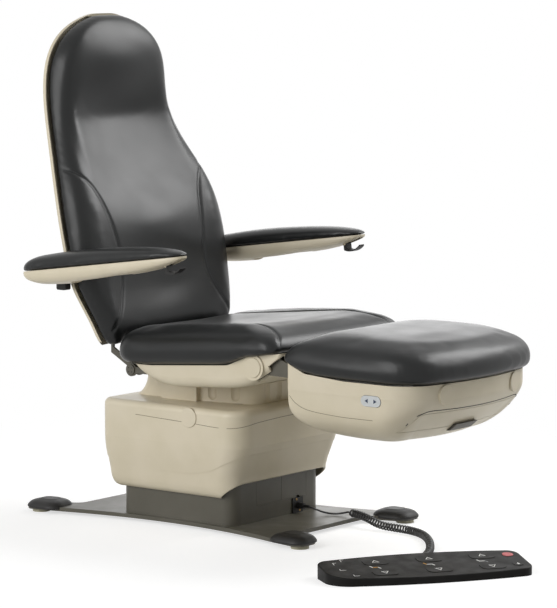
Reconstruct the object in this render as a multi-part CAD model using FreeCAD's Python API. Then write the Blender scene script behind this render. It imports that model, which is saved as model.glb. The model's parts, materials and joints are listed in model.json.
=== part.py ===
import FreeCAD, Part
import math
import os

# Podiatry chair. Millimetres, +Z up, the chair faces -Y, +X is the patient's left.
# The origin is on the floor, midway between the four levelling glides.

# Driving dimensions
glide_reach_x = 224.0
glide_reach_y = 428.0
pedestal_half_x = 189.0
pedestal_front = 185.0
pedestal_rear = 185.0
pedestal_top = 256.0
shroud_half_x = 226.0
shroud_front = 236.0
shroud_rear = 222.0
shroud_bottom = 91.0
shroud_top = 320.0
seat_half_width = 284.0
pan_rear = 94.0
pan_length = 488.0
pan_front = pan_length - pan_rear
seat_overhang = 2.0
seat_front = pan_front + seat_overhang
seat_rear = 138.0
seat_thick = 94.0
seat_underside = 419.5
seat_pitch_deg = 4.5
back_half_width = 300.0
back_foot = 456.0
back_height = 846.0
back_foot_y = 188.0
back_lean = 217.0
back_pad_thick = 75.0
leg_half_width = 281.0
leg_pan_gap = 6.0
leg_length = 446.0
leg_rear = pan_front + leg_pan_gap
leg_front = leg_rear + leg_length
leg_pad_bottom = 434.0
leg_pad_thick = 104.0
leg_shell_bottom = 280.0
arm_reach_x = 372.0
arm_pitch_deg = 7.6
control_length = 505.0
control_depth = 172.0

# Joint places
recline_y = 112.0
recline_z = 401.0
tilt_y = 70.0
tilt_z = 398.0
leg_hinge_setback = 85.0
leg_hinge_y = leg_hinge_setback - pan_front
leg_hinge_z = 444.0
arm_pivot_y = 262.0
arm_pivot_z = 638.0

# Clearances and common stock
running_gap = 0.3
face_gap = 0.4
overrun = 20.0
moulding_wall = 4.0
plate_stock = 6.0

Vector = FreeCAD.Vector
axis_x = Vector(1, 0, 0)
axis_y = Vector(0, 1, 0)
axis_z = Vector(0, 0, 1)
full_turn = 360.0
sides = (-1, 1)


# Shape helpers

def export(name, *solids):
    shape = solids[0] if len(solids) == 1 else Part.makeCompound(list(solids))
    shape.exportStep("parts/" + name + ".step")


def span_box(x0, x1, y0, y1, z0, z1):
    return Part.makeBox(x1 - x0, y1 - y0, z1 - z0, Vector(x0, y0, z0))


def rod_x(radius, x0, x1, y, z):
    return Part.makeCylinder(radius, x1 - x0, Vector(x0, y, z), axis_x)


def rod_y(radius, y0, y1, x, z):
    return Part.makeCylinder(radius, y1 - y0, Vector(x, y0, z), axis_y)


def rod_z(radius, z0, z1, x, y):
    return Part.makeCylinder(radius, z1 - z0, Vector(x, y, z0), axis_z)


def fuse(first, *others):
    return first.fuse(list(others)).removeSplitter()


def trace(start, *steps):
    # A closed outline: a step that is a point is a line, a pair of points is an arc.
    edges = []
    here = start
    for step in steps:
        if isinstance(step, tuple):
            edges.append(Part.Arc(here, step[0], step[1]).toShape())
            here = step[1]
        else:
            edges.append(Part.LineSegment(here, step).toShape())
            here = step
    return Part.Wire(edges)


def swing(here, heading, there):
    # An arc step that leaves here along heading and ends there.
    chord = there - here
    along = Vector(chord).normalize()
    side = heading - along * heading.dot(along)
    half = heading.getAngle(along) / 2
    middle = here + chord / 2 + Vector(side).normalize() * (chord.Length / 2 * math.tan(half))
    return (middle, there)


def rounded(points, radii):
    # A closed outline through the points, each corner turned on its own radius.
    edges = []
    ends = []
    count = len(points)
    for index, corner in enumerate(points):
        back = (points[index - 1] - corner).normalize()
        ahead = (points[(index + 1) % count] - corner).normalize()
        half = back.getAngle(ahead) / 2
        radius = radii[index]
        reach = radius / math.tan(half)
        inward = (back + ahead).normalize()
        middle = corner + inward * (radius / math.sin(half) - radius)
        ends.append((corner + back * reach, middle, corner + ahead * reach))
    for index, (enter, middle, leave) in enumerate(ends):
        if radii[index] > 0:
            edges.append(Part.Arc(enter, middle, leave).toShape())
        following = ends[(index + 1) % count][0]
        if leave.distanceToPoint(following) > 0:
            edges.append(Part.LineSegment(leave, following).toShape())
    return Part.Wire(edges)


def plan_box(half_x, y0, y1, radius, z):
    points = [Vector(-half_x, y0, z), Vector(half_x, y0, z), Vector(half_x, y1, z), Vector(-half_x, y1, z)]
    return rounded(points, [radius] * len(points))


def prism(wire, travel):
    return Part.Face(wire).extrude(travel)


def side_prism(pairs, radii, x0, x1):
    # A side view outline of (y, z) pairs, drawn out from x0 to x1.
    wire = rounded([Vector(x0, y, z) for y, z in pairs], radii)
    return prism(wire, Vector(x1 - x0, 0, 0))


def loft(wires):
    return Part.makeLoft(wires, True, False)


def turned(shape, centre, axis, angle):
    moved = shape.copy()
    moved.rotate(centre, axis, angle)
    return moved


def mirrored(shape):
    return shape.mirror(Vector(0, 0, 0), axis_x)


# Base plate with four legs, glides and end caps

plate_underside = 9.0
plate_thick = 10.0
plate_waist = 192.0
plate_hip_x = 240.0
plate_hip_y = 345.0
plate_outer = 259.0
plate_front_y = 350.0
plate_front_x = 128.0
plate_inner_x = 162.0
plate_inner_y = 372.0
plate_toe_x = 182.0
plate_toe_y = 438.0
plate_tip_y = 455.0
plate_tip_x = 205.0
plate_tip_round = 23.0
glide_radius = 23.0
glide_edge = 2.0
glide_seat = 1.0
stud_radius = 5.0
stud_length = 8.0
cap_outer_x = 264.0
cap_outer_y = 342.0
cap_tip_y = 460.0
cap_tip_x = 179.0
cap_inner_x = 159.0
cap_inner_y = 356.0
cap_corner = 34.0
cap_centre_x = 214.0
cap_centre_y = 403.0
cap_bottom = 13.0
cap_height = 23.0
cap_rise_share = (0.0, 0.14, 0.4, 0.62, 0.78, 0.85, 1.0)
cap_size_share = (0.96, 1.0, 0.95, 0.86, 0.74, 0.65, 0.42)
cap_gap = 0.5
plate_top = plate_underside + plate_thick


def in_four_corners(shape):
    others = [shape.mirror(Vector(0, 0, 0), axis_x), shape.mirror(Vector(0, 0, 0), axis_y)]
    return [shape] + others + [others[0].mirror(Vector(0, 0, 0), axis_y)]


def plate_profile(grow, z0, z1):
    # A quarter of the plate: waisted side, leg running out to its tip, straight front edge.
    hip = Vector(plate_hip_x + grow, plate_hip_y, z0)
    outer = Vector(plate_outer + grow, plate_tip_y - plate_tip_round, z0)
    tip = Vector(plate_outer - plate_tip_round, plate_tip_y + grow, z0)
    near_tip = Vector(plate_tip_x, plate_tip_y + grow, z0)
    toe = Vector(plate_toe_x - grow, plate_toe_y, z0)
    inner = Vector(plate_inner_x - grow, plate_inner_y, z0)
    front = Vector(plate_front_x - grow, plate_front_y + grow, z0)
    waist = Vector(plate_waist + grow, 0, z0)
    wire = trace(
        Vector(0, 0, z0), waist, swing(waist, axis_y, hip), outer, swing(outer, axis_y, tip), near_tip,
        swing(near_tip, axis_x * -1, toe), inner, swing(inner, (inner - toe).normalize(), front),
        Vector(0, plate_front_y + grow, z0), Vector(0, 0, z0))
    return fuse(*in_four_corners(prism(wire, Vector(0, 0, z1 - z0))))


def leg_places():
    return [Vector(x * glide_reach_x, y * glide_reach_y, 0) for x in sides for y in sides]


def base_plate():
    plate = plate_profile(0, plate_underside, plate_top)
    for place in leg_places():
        plate = plate.cut([rod_z(stud_radius + running_gap, 0, plate_top + overrun, place.x, place.y),
                           rod_z(glide_radius + face_gap, 0, plate_underside + glide_seat, place.x, place.y)])
    return plate


def levelling_glides():
    glides = []
    for place in leg_places():
        foot = rod_z(glide_radius, 0, plate_underside + glide_seat, place.x, place.y)
        foot = foot.makeChamfer(glide_edge, [foot.Edges[0]])
        glides.append(foot.fuse(rod_z(stud_radius, 0, plate_top + stud_length, place.x, place.y)).removeSplitter())
    return glides


def base_caps():
    wires = []
    cap_outline = [(cap_outer_x, cap_outer_y), (cap_outer_x, cap_tip_y), (cap_tip_x, cap_tip_y),
                   (cap_inner_x, cap_inner_y)]
    for rise, size in zip(cap_rise_share, cap_size_share):
        points = [Vector(cap_centre_x + (x - cap_centre_x) * size, cap_centre_y + (y - cap_centre_y) * size,
                         cap_bottom + cap_height * rise) for x, y in cap_outline]
        wires.append(rounded(points, [cap_corner * size] * len(points)))
    cap = loft(wires)
    bed = plate_profile(cap_gap, 0, plate_top)
    well = rod_z(stud_radius + cap_gap, 0, plate_top + stud_length + cap_gap, glide_reach_x, glide_reach_y)
    return in_four_corners(cap.cut([bed, well]))


# Pedestal: the outer column box, its front panels and guide pads

pedestal_corner = 38.0
pedestal_wall = 4.0
panel_seam_z = 59.0
panel_left = -88.0
panel_split = 17.0
panel_right = 122.0
panel_head = 232.0
panel_stock = 2.5
panel_lip = 7.0
panel_gap = 0.5
pad_gap_outer = 10.0
guide_pad_width = 120.0
guide_pad_height = 42.0
guide_pad_inset = 6.0
cord_notch_radius = 6.0
cord_notch_x = 87.0


def column_tube(shrink, wall, z0, z1):
    half_x = pedestal_half_x - shrink
    front = -pedestal_front + shrink
    rear = pedestal_rear - shrink
    corner = pedestal_corner - shrink / 2
    outer = prism(plan_box(half_x, front, rear, corner, z0), Vector(0, 0, z1 - z0))
    inner_wire = plan_box(half_x - wall, front + wall, rear - wall, corner - wall, z0 - overrun)
    return outer.cut(prism(inner_wire, Vector(0, 0, z1 - z0 + overrun * 2)))


def pedestal_shell():
    shell = column_tube(0, pedestal_wall, plate_top, pedestal_top)
    recess = span_box(panel_left, panel_right, -pedestal_front - overrun,
                      -pedestal_front + panel_stock, panel_seam_z, panel_head)
    window = span_box(panel_left + panel_lip, panel_right - panel_lip, -pedestal_front - overrun,
                      -pedestal_front + overrun, panel_seam_z + panel_lip, panel_head - panel_lip)
    notch = rod_y(cord_notch_radius, -pedestal_front - overrun, -pedestal_front + overrun,
                  cord_notch_x, panel_seam_z)
    return shell.cut([recess, window, notch])


def pedestal_access_panels():
    panels = []
    for x0, x1 in ((panel_left, panel_split), (panel_split, panel_right)):
        panel = span_box(x0 + panel_gap, x1 - panel_gap, -pedestal_front, -pedestal_front + panel_stock,
                         panel_seam_z + panel_gap, panel_head - panel_gap)
        panels.append(panel)
    notch = rod_y(cord_notch_radius, -pedestal_front - overrun, -pedestal_front + overrun,
                  cord_notch_x, panel_seam_z)
    panels[-1] = panels[-1].cut(notch)
    return panels


def guide_pads(shrink, gap, z0):
    # Four slide pads between one column tube and the next one in.
    half_x = pedestal_half_x - shrink
    front = -pedestal_front + shrink
    rear = pedestal_rear - shrink
    thick = gap - running_gap
    z1 = z0 + guide_pad_height
    half = guide_pad_width / 2
    return [
        span_box(half_x - thick, half_x, -half, half, z0, z1),
        span_box(-half_x, -half_x + thick, -half, half, z0, z1),
        span_box(-half, half, front, front + thick, z0, z1),
        span_box(-half, half, rear - thick, rear, z0, z1)]


# Lift: middle sleeve, inner sleeve and a three stage actuator

middle_shrink = pedestal_wall + pad_gap_outer
middle_bottom = 30.0
middle_top = 240.0
sleeve_wall = 4.0
pad_gap_inner = 8.0
inner_shrink = middle_shrink + sleeve_wall + pad_gap_inner
inner_bottom = 40.0
carriage_plate_z = 264.0
carriage_plate_thick = 8.0
lift_axis_y = 0.0
housing_radius = 42.0
housing_bore = 32.0
housing_top = 235.0
stage_radius = housing_bore - face_gap
stage_bore = 22.0
stage_bottom = 26.0
stage_top = 242.0
ram_radius = stage_bore - face_gap
ram_bottom = 32.0


def lift_actuator_housing():
    body = rod_z(housing_radius, plate_top, housing_top, 0, lift_axis_y)
    return body.cut(rod_z(housing_bore, plate_top + running_gap, housing_top + overrun, 0, lift_axis_y))


def lift_actuator_tube():
    tube = rod_z(stage_radius, stage_bottom, stage_top, 0, lift_axis_y)
    return tube.cut(rod_z(stage_bore, stage_bottom + running_gap, stage_top + overrun, 0, lift_axis_y))


def lift_actuator_rod():
    return rod_z(ram_radius, ram_bottom, carriage_plate_z, 0, lift_axis_y)


# Control electronics and the foot control socket

control_box_half_x = 45.0
control_box_y0 = 62.0
control_box_y1 = 112.0
control_box_height = 150.0
control_box_edge = 5.0
socket_x = 83.0
socket_z = 38.0
socket_half_x = 22.0
socket_proud = 3.0
socket_bore = 5.5
socket_barrel_radius = 9.0
socket_barrel = 14.0


def control_box():
    body = span_box(-control_box_half_x, control_box_half_x, control_box_y0, control_box_y1,
                    plate_top, plate_top + control_box_height)
    return body.makeFillet(control_box_edge, [edge for edge in body.Edges if edge.Length == control_box_height])


def pedal_socket():
    face_y = -pedestal_front
    plate = span_box(socket_x - socket_half_x, socket_x + socket_half_x, face_y - socket_proud, face_y,
                     plate_top, panel_seam_z - panel_gap)
    barrel = rod_y(socket_barrel_radius, face_y - socket_proud - socket_barrel / 2, face_y, socket_x, socket_z)
    bore = rod_y(socket_bore, face_y - socket_barrel, face_y - socket_proud, socket_x, socket_z)
    return fuse(plate, barrel).cut(bore)


# Carriage plate and the moulded shroud that hangs from it

shroud_wall = 4.5
shroud_corner = 58.0
shroud_rear_corner = 34.0
shroud_waist = 224.0
shroud_side_taper = 30.0
shroud_front_taper = 33.0
shroud_top_radius = 16.0
shroud_rise_share = (0.0, 0.053, 0.113, 0.361, 0.586, 0.857, 1.0)
shroud_side_share = (1.0, 0.68, 0.53, 0.33, 0.17, 0.03, 0.0)
shroud_front_share = (1.0, 0.97, 0.94, 0.82, 0.55, 0.18, 0.0)
shroud_arch_z = 135.0
shroud_arch_start = 142.0
shroud_arch_run = 70.0
shroud_arch_radius = 34.0
crease_step = 1.2
crease_radius = 60.0
crease_run_share = (0.0, 0.22, 0.43, 0.65, 0.77, 0.95, 1.0)
crease_rise_share = (0.37, 0.28, 0.243, 0.255, 0.31, 0.5, 0.55)
neck_opening_x = 100.0
neck_opening_front = -150.0
neck_opening_rear = 130.0
shroud_disc_y = -76.0
shroud_disc_z = 294.0
disc_radius = 25.0
disc_proud = 3.0
disc_edge = 1.2


def shroud_plan(inset, front_inset, z):
    half_x = shroud_half_x - inset
    front = -shroud_front + front_inset
    rear = shroud_rear - inset
    points = [Vector(-half_x, front, z), Vector(half_x, front, z), Vector(half_x, rear, z), Vector(-half_x, rear, z)]
    front_radius = shroud_corner - inset / 2
    rear_radius = shroud_rear_corner - inset / 2
    return rounded(points, [front_radius, front_radius, rear_radius, rear_radius])


def shroud_hull(inset, drop):
    # The lower part tapers in on a curve; above the waist the sides stand upright.
    top = shroud_top - drop
    span = shroud_waist - shroud_bottom
    wires = []
    for rise, side, front in zip(shroud_rise_share, shroud_side_share, shroud_front_share):
        wires.append(shroud_plan(inset + shroud_side_taper * side, inset + shroud_front_taper * front,
                                 shroud_bottom + span * rise))
    lower = loft(wires)
    upper = prism(shroud_plan(inset, inset, shroud_waist), Vector(0, 0, top - shroud_waist))
    rim = [edge for edge in upper.Edges if abs(edge.BoundBox.ZMin - top) < face_gap]
    upper = upper.makeFillet(shroud_top_radius - drop, rim)
    return lower.fuse(upper)


def sunk_skirt():
    # The skin below the crease stands back a little; the crease rises to the front and rear in a long smile.
    length = shroud_front + shroud_rear
    high = shroud_top - shroud_bottom
    line = [(shroud_rear + overrun - (length + overrun * 2) * run, shroud_bottom + high * rise)
            for run, rise in zip(crease_run_share, crease_rise_share)]
    foot = shroud_bottom - overrun
    corners = line + [(line[-1][0], foot), (line[0][0], foot)]
    radii = [crease_radius if 0 < index < len(line) - 1 else 0 for index in range(len(corners))]
    zone = side_prism(corners, radii, -shroud_half_x - overrun, shroud_half_x + overrun)
    return shroud_hull(-overrun / 2, 0).cut(shroud_hull(crease_step, crease_step)).common(zone)


def shroud():
    shell = shroud_hull(0, 0)
    hollow = shroud_hull(shroud_wall, shroud_wall)
    floor = prism(shroud_plan(shroud_side_taper + shroud_wall, shroud_front_taper + shroud_wall,
                              shroud_bottom - overrun), Vector(0, 0, overrun * 2))
    foot = shroud_bottom - overrun
    arch = side_prism([
        (-shroud_arch_start, foot), (-shroud_arch_start, foot + overrun / 2),
        (-shroud_arch_start - shroud_arch_run, shroud_arch_z), (-shroud_front - overrun, shroud_arch_z),
        (-shroud_front - overrun, foot)], [0, 0, shroud_arch_radius, 0, 0],
        -shroud_half_x - overrun, shroud_half_x + overrun)
    neck_hole = span_box(-neck_opening_x, neck_opening_x, neck_opening_front, neck_opening_rear,
                         shroud_top - overrun, shroud_top + overrun)
    return shell.cut(hollow).cut([floor, arch, neck_hole]).cut(sunk_skirt())


def shroud_caps():
    cap = disc(Vector(shroud_half_x, shroud_disc_y, shroud_disc_z), axis_x)
    cap = cap.cut(shroud_hull(0, 0))
    return [cap, mirrored(cap)]


def disc(place, outward):
    body = Part.makeCylinder(disc_radius, disc_proud * 2, place - outward * disc_proud, outward)
    rim = [edge for edge in body.Edges if edge.Closed and (edge.CenterOfMass - place).dot(outward) > 0]
    return body.makeFillet(disc_edge, rim)


def carriage_plate():
    inset = shroud_wall + face_gap
    return prism(shroud_plan(inset, inset, carriage_plate_z), Vector(0, 0, carriage_plate_thick))


# Neck moulding between the shroud and the seat

neck_half_x = 119.0
neck_front_half_x = 88.0
neck_shoulder_y = -16.0
neck_front = 190.0
neck_corner = 46.0
neck_shoulder_radius = 150.0
neck_rear = 160.0
neck_rear_corner = 24.0
neck_flare = 34.0
neck_top = 371.0
neck_wall = 5.0
neck_well_front = 142.0
neck_well_half_x = 82.0
neck_tab_half_x = 134.0
neck_tab_front = -26.0
neck_tab_rear = 90.0
flute_radius = 16.0
flute_depth = 6.0
flute_foot = 337.0
flute_side_first = -62.0
flute_side_pitch = 66.0
flute_front_pitch = 50.0
neck_rise_share = (0.0, 0.2, 0.45, 0.75, 1.0)
neck_flare_share = (1.0, 0.58, 0.28, 0.07, 0.0)


def neck_side_x(y):
    # Half width of the neck where its side runs in towards the front.
    share = (neck_shoulder_y - y) / (neck_shoulder_y + neck_front)
    return neck_half_x + (neck_front_half_x - neck_half_x) * max(share, 0)


def neck_cover():
    height = neck_top - shroud_top
    wires = []
    for rise, flare in zip(neck_rise_share, neck_flare_share):
        z = shroud_top + height * rise
        rear = neck_rear + neck_flare * flare
        points = [Vector(-neck_front_half_x, -neck_front, z), Vector(neck_front_half_x, -neck_front, z),
                  Vector(neck_half_x, neck_shoulder_y, z), Vector(neck_half_x, rear, z),
                  Vector(-neck_half_x, rear, z), Vector(-neck_half_x, neck_shoulder_y, z)]
        wires.append(rounded(points, [neck_corner, neck_corner, neck_shoulder_radius, neck_rear_corner,
                                      neck_rear_corner, neck_shoulder_radius]))
    body = loft(wires)
    tab = span_box(-neck_tab_half_x, neck_tab_half_x, neck_tab_front, neck_tab_rear, shroud_top, neck_top)
    body = fuse(body, tab)
    well = span_box(-neck_well_half_x, neck_well_half_x, -neck_well_front, neck_shoulder_y,
                    shroud_top - overrun, neck_top + overrun)
    rear_well = span_box(-neck_half_x + neck_wall * 2, neck_half_x - neck_wall * 2, neck_shoulder_y,
                         neck_rear - neck_wall, shroud_top - overrun, neck_top + overrun)
    front_y = -neck_front + flute_depth - flute_radius
    places = [(0, front_y), (flute_front_pitch, front_y)]
    for y in (flute_side_first, flute_side_first - flute_side_pitch):
        places.append((neck_side_x(y) - flute_depth + flute_radius, y))
    flutes = []
    for x, y in places:
        for side in sides if x > 0 else sides[:1]:
            flutes.append(rod_z(flute_radius, flute_foot, neck_top + overrun, side * x, y))
            flutes.append(Part.makeSphere(flute_radius, Vector(side * x, y, flute_foot)))
    return body.cut([well, rear_well]).cut(flutes)


# Tilt yoke on the carriage, its pin in the seat, and the tilt actuator

yoke_half_x = 84.0
yoke_cheek = 10.0
yoke_eye = 22.0
yoke_foot_half_y = 52.0
yoke_foot_thick = 8.0
pin_radius = 10.0
pin_end_x = 112.0
tilt_ram_y = -112.0
tilt_body_radius = 24.0
tilt_body_top = 352.0
tilt_rod_radius = 9.0
cross_tube_y = -112.0
cross_tube_z = 400.0
cross_tube_radius = 12.0
carriage_top = carriage_plate_z + carriage_plate_thick


def tilt_yoke():
    cheeks = []
    foot_top = carriage_top + yoke_foot_thick
    for side in sides:
        centre = side * yoke_half_x
        x0 = centre - yoke_cheek / 2
        x1 = centre + yoke_cheek / 2
        web = side_prism([(tilt_y - yoke_foot_half_y, carriage_top), (tilt_y + yoke_foot_half_y, carriage_top),
                          (tilt_y + yoke_eye, tilt_z), (tilt_y - yoke_eye, tilt_z)], [0, 0, 0, 0], x0, x1)
        cheeks.append(web)
        cheeks.append(rod_x(yoke_eye, x0, x1, tilt_y, tilt_z))
    foot = span_box(-yoke_half_x, yoke_half_x, tilt_y - yoke_foot_half_y, tilt_y + yoke_foot_half_y,
                    carriage_top, foot_top)
    bore = rod_x(pin_radius + running_gap, -pin_end_x, pin_end_x, tilt_y, tilt_z)
    return fuse(foot, *cheeks).cut(bore)


def tilt_actuator():
    body = rod_z(tilt_body_radius, carriage_top, tilt_body_top, 0, tilt_ram_y)
    rod = rod_z(tilt_rod_radius, tilt_body_top, cross_tube_z - cross_tube_radius - running_gap, 0, tilt_ram_y)
    return fuse(body, rod)


# Seat: pan moulding, frame, pins, cushion

seat_pivot = Vector(0, tilt_y, seat_underside)
seat_corner = 60.0
seat_front_corner = 40.0
seat_inset = 26.0
seat_rise_share = (0.0, 0.12, 0.34, 0.56, 0.76, 0.91, 1.0)
seat_inset_share = (1.05, 0.35, 0.0, 0.06, 0.4, 1.05, 2.2)
seat_front_inset_share = (0.5, 0.2, 0.0, 0.14, 0.8, 2.2, 4.4)
join_rise = 69.5
join_radius = 70.0
join_run_share = (-0.0225, 0.217, 0.678, 0.794, 1.045)
join_rise_share = (0.029, 0.05, 0.331, 0.698, 1.0)
pan_half_x = 256.0
pan_bottom = 372.0
pan_depth = 112.0
pan_headroom = 40.0
pan_run_share = (0.0, 0.037, 0.088, 0.1475, 0.207, 0.3156, 0.5, 0.7275, 0.8156, 0.8975, 0.9344, 1.0)
pan_keel_share = (0.536, 0.348, 0.205, 0.098, 0.027, 0.0, 0.054, 0.152, 0.277, 0.473, 0.58, 1.0)
pan_side_radius = 26.0
pan_notch_run = 44.0
pan_notch_y = leg_hinge_y - pan_notch_run
pan_notch_z = 450.0
pan_lip_run = 13.0
pan_lip_y = pan_notch_y - pan_lip_run
pan_boss_radius = 32.0
pan_boss_proud = 5.0
frame_side_x = 226.0
ear_radius = 17.0
recline_tube_radius = 13.0
leg_tube_radius = 12.0
lug_x = 98.0
lug_thick = 8.0
lug_margin = 3.0
front_tube_run = 47.0
front_tube_y = leg_hinge_y + front_tube_run
front_tube_z = 440.0
frame_link_y = 56.0
frame_link_low = 393.0
frame_link_high = 409.0
pan_slot_front = -60.0


def above_join(gap):
    # All that lies over the line where the seat cushion meets its pan.
    x = -seat_half_width - overrun
    length = seat_rear + seat_front
    line = [(seat_rear - length * run, seat_underside + join_rise * rise + gap)
            for run, rise in zip(join_run_share, join_rise_share)]
    high = seat_underside + seat_thick * 3
    corners = line + [(line[-1][0], high), (line[0][0], high)]
    radii = [join_radius if 0 < index < len(line) - 1 else 0 for index in range(len(corners))]
    return side_prism(corners, radii, x, -x)


def pan_hull(inset):
    # U sections along the seat: upright sides, rounded bilges, a keel that rises at both ends.
    half = pan_half_x - inset
    radius = pan_side_radius - inset / 2
    high = pan_bottom + pan_depth + pan_headroom
    middle = pan_rear - pan_length / 2
    stretch = (pan_length - inset * 2) / pan_length
    ease = radius * (1 - math.sqrt(1 / 2))
    wires = []
    for run, keel in zip(pan_run_share, pan_keel_share):
        y = middle + (pan_length / 2 - pan_length * run) * stretch
        low = pan_bottom + pan_depth * keel + inset
        wires.append(trace(
            Vector(-half, y, high), Vector(-half, y, low + radius),
            (Vector(-half + ease, y, low + ease), Vector(-half + radius, y, low)), Vector(half - radius, y, low),
            (Vector(half - ease, y, low + ease), Vector(half, y, low + radius)), Vector(half, y, high),
            Vector(-half, y, high)))
    return loft(wires)


def seat_pan():
    half = pan_half_x
    shell = pan_hull(0)
    for side in sides:
        x0 = min(side * half, side * (half + pan_boss_proud))
        shell = shell.fuse(rod_x(pan_boss_radius, x0, x0 + pan_boss_proud, leg_hinge_y, leg_hinge_z))
    end_y = pan_rear - pan_length
    high = pan_bottom + pan_depth
    notch = side_prism([
        (pan_notch_y, pan_notch_z), (end_y - overrun, high + overrun / 2), (end_y - overrun, pan_bottom),
        (pan_lip_y, pan_bottom)], [0] * 4, -half - overrun, half + overrun)
    slot = span_box(-lug_x - lug_thick * 2, lug_x + lug_thick * 2, pan_slot_front, pan_rear + overrun,
                    pan_bottom - overrun, high + overrun)
    ram_slot = rod_z(tilt_body_radius, pan_bottom - overrun, cross_tube_z, 0, tilt_ram_y)
    cuts = [pan_hull(moulding_wall), slot, ram_slot, above_join(-face_gap), notch]
    for side in sides:
        x = side * frame_side_x
        cuts.append(span_box(x - plate_stock, x + plate_stock, frame_link_y, pan_rear + overrun,
                             frame_link_low - ear_radius / 2, high))
        x = side * bracket_x
        cuts.append(span_box(x - plate_stock, x + plate_stock, end_y - overrun, leg_hinge_y,
                             pan_bottom, bracket_peak_z + bar_gap))
    return shell.cut(cuts)


def seat_pan_caps():
    cap = disc(Vector(pan_half_x + pan_boss_proud, leg_hinge_y, leg_hinge_z), axis_x)
    keep = span_box(pan_half_x + pan_boss_proud, pan_half_x * 2, leg_hinge_y - disc_radius * 2,
                    leg_hinge_y + disc_radius * 2, leg_hinge_z - disc_radius * 2, leg_hinge_z + disc_radius * 2)
    cap = cap.common(keep)
    return [cap, mirrored(cap)]


def seat_frame():
    parts = []
    floor = pan_hull(moulding_wall + running_gap)
    for side in sides:
        x0 = side * frame_side_x - plate_stock / 2
        x1 = x0 + plate_stock
        slab = span_box(x0, x1, leg_hinge_y, pan_rear, pan_bottom, pan_bottom + pan_depth)
        rail = slab.common(floor).cut(above_join(-face_gap - running_gap))
        link = side_prism([(frame_link_y, frame_link_low), (recline_y, frame_link_low),
                           (recline_y, frame_link_high), (frame_link_y, frame_link_high)], [0] * 4, x0, x1)
        parts += [rail, link, rod_x(ear_radius, x0, x1, recline_y, recline_z),
                  rod_x(ear_radius, x0, x1, leg_hinge_y, leg_hinge_z)]
        lug_centre = side * lug_x
        parts.append(span_box(lug_centre - lug_thick / 2, lug_centre + lug_thick / 2,
                              cross_tube_y - cross_tube_radius - lug_margin, tilt_y + pin_radius + lug_thick,
                              cross_tube_z - cross_tube_radius - lug_margin, tilt_z + pin_radius + lug_thick))
    parts.append(rod_x(cross_tube_radius, -frame_side_x, frame_side_x, cross_tube_y, cross_tube_z))
    parts.append(rod_x(cross_tube_radius, -frame_side_x, frame_side_x, front_tube_y, front_tube_z))
    bores = [rod_x(recline_tube_radius + running_gap, -pan_half_x, pan_half_x, recline_y, recline_z),
             rod_x(leg_tube_radius + running_gap, -pan_half_x, pan_half_x, leg_hinge_y, leg_hinge_z),
             rod_x(pin_radius, -pin_end_x, pin_end_x, tilt_y, tilt_z)]
    return fuse(*parts).cut(bores)


def tilt_pin():
    return rod_x(pin_radius, -pin_end_x, pin_end_x, tilt_y, tilt_z)


def seat_plan(inset, front_inset, z):
    half = seat_half_width - inset
    rear = seat_rear - inset
    front = -seat_front + front_inset
    rear_corner = seat_corner - inset / 2
    points = [Vector(-half, front, z), Vector(half, front, z), Vector(half, rear, z), Vector(-half, rear, z)]
    return rounded(points, [seat_front_corner, seat_front_corner, rear_corner, rear_corner])


def seat_cushion():
    wires = []
    for rise, inset, front_inset in zip(seat_rise_share, seat_inset_share, seat_front_inset_share):
        wires.append(seat_plan(seat_inset * inset, seat_inset * front_inset, seat_underside + seat_thick * rise))
    cushion = loft(wires)
    cushion = turned(cushion, seat_pivot, axis_x, -seat_pitch_deg)
    return cushion.common(above_join(0))


# Back and leg actuators, carried on the seat frame's cross tube, and the cranks that they turn

ram_body_radius = 15.0
ram_rod_radius = 6.0
ram_back_x = 50.0
ram_leg_x = -60.0
ram_body_length = 118.0
ram_rod_end = 8.0
back_crank = 24.0
leg_crank = 20.0
crank_eye = 9.0
crank_thick = 8.0


def ram(x, pin_y, pin_z):
    # A motor body and its screw, from the cross tube past the pin that the crank turns on.
    start = Vector(x, cross_tube_y, cross_tube_z)
    pin = Vector(x, pin_y, pin_z)
    heading = (pin - start).normalize()
    rear = start + heading * (cross_tube_radius + running_gap)
    shoulder = rear + heading * ram_body_length
    body = Part.makeCylinder(ram_body_radius, ram_body_length, rear, heading)
    rod_length = (pin - shoulder).Length + ram_rod_end
    return fuse(body, Part.makeCylinder(ram_rod_radius, rod_length, shoulder, heading))


def crank(ram_x, pivot_y, pivot_z, drop):
    # Hangs from its tube close beside the ram's rod.
    x0 = ram_x + ram_rod_radius + running_gap
    x1 = x0 + crank_thick
    web = span_box(x0, x1, pivot_y - crank_eye, pivot_y + crank_eye, pivot_z - drop, pivot_z)
    return fuse(web, rod_x(crank_eye, x0, x1, pivot_y, pivot_z - drop))


# Backrest: section table from foot to crown, shell, frame, cushion

spine_rise_share = (0.0, 0.0225, 0.052, 0.111, 0.182, 0.2766, 0.371, 0.4716, 0.5485, 0.6253, 0.714, 0.7967,
                    0.8794, 0.936, 0.9715, 0.9917, 1.0)
spine_width_share = (0.787, 0.833, 0.86, 0.92, 0.98, 1.0, 0.993, 0.95, 0.883, 0.81, 0.753, 0.727,
                     0.667, 0.547, 0.393, 0.24, 0.1)
spine_lean_share = (0.009, 0.046, 0.083, 0.157, 0.258, 0.35, 0.442, 0.567, 0.7, 0.839, 0.9585, 1.0,
                    1.0, 0.991, 0.977, 0.966, 0.96)
spine_thick_share = (0.347, 0.56, 0.747, 0.853, 0.907, 0.96, 1.0, 0.96, 0.907, 0.88, 0.933, 0.96,
                     0.933, 0.827, 0.64, 0.43, 0.24)
spine_dish_share = (0.05, 0.08, 0.12, 0.13, 0.12, 0.1, 0.16, 0.24, 0.29, 0.3, 0.24, 0.1,
                    0.04, 0.02, 0.0, 0.0, 0.0)
back_edge = 5.0
back_bolster_share = 0.83
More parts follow.
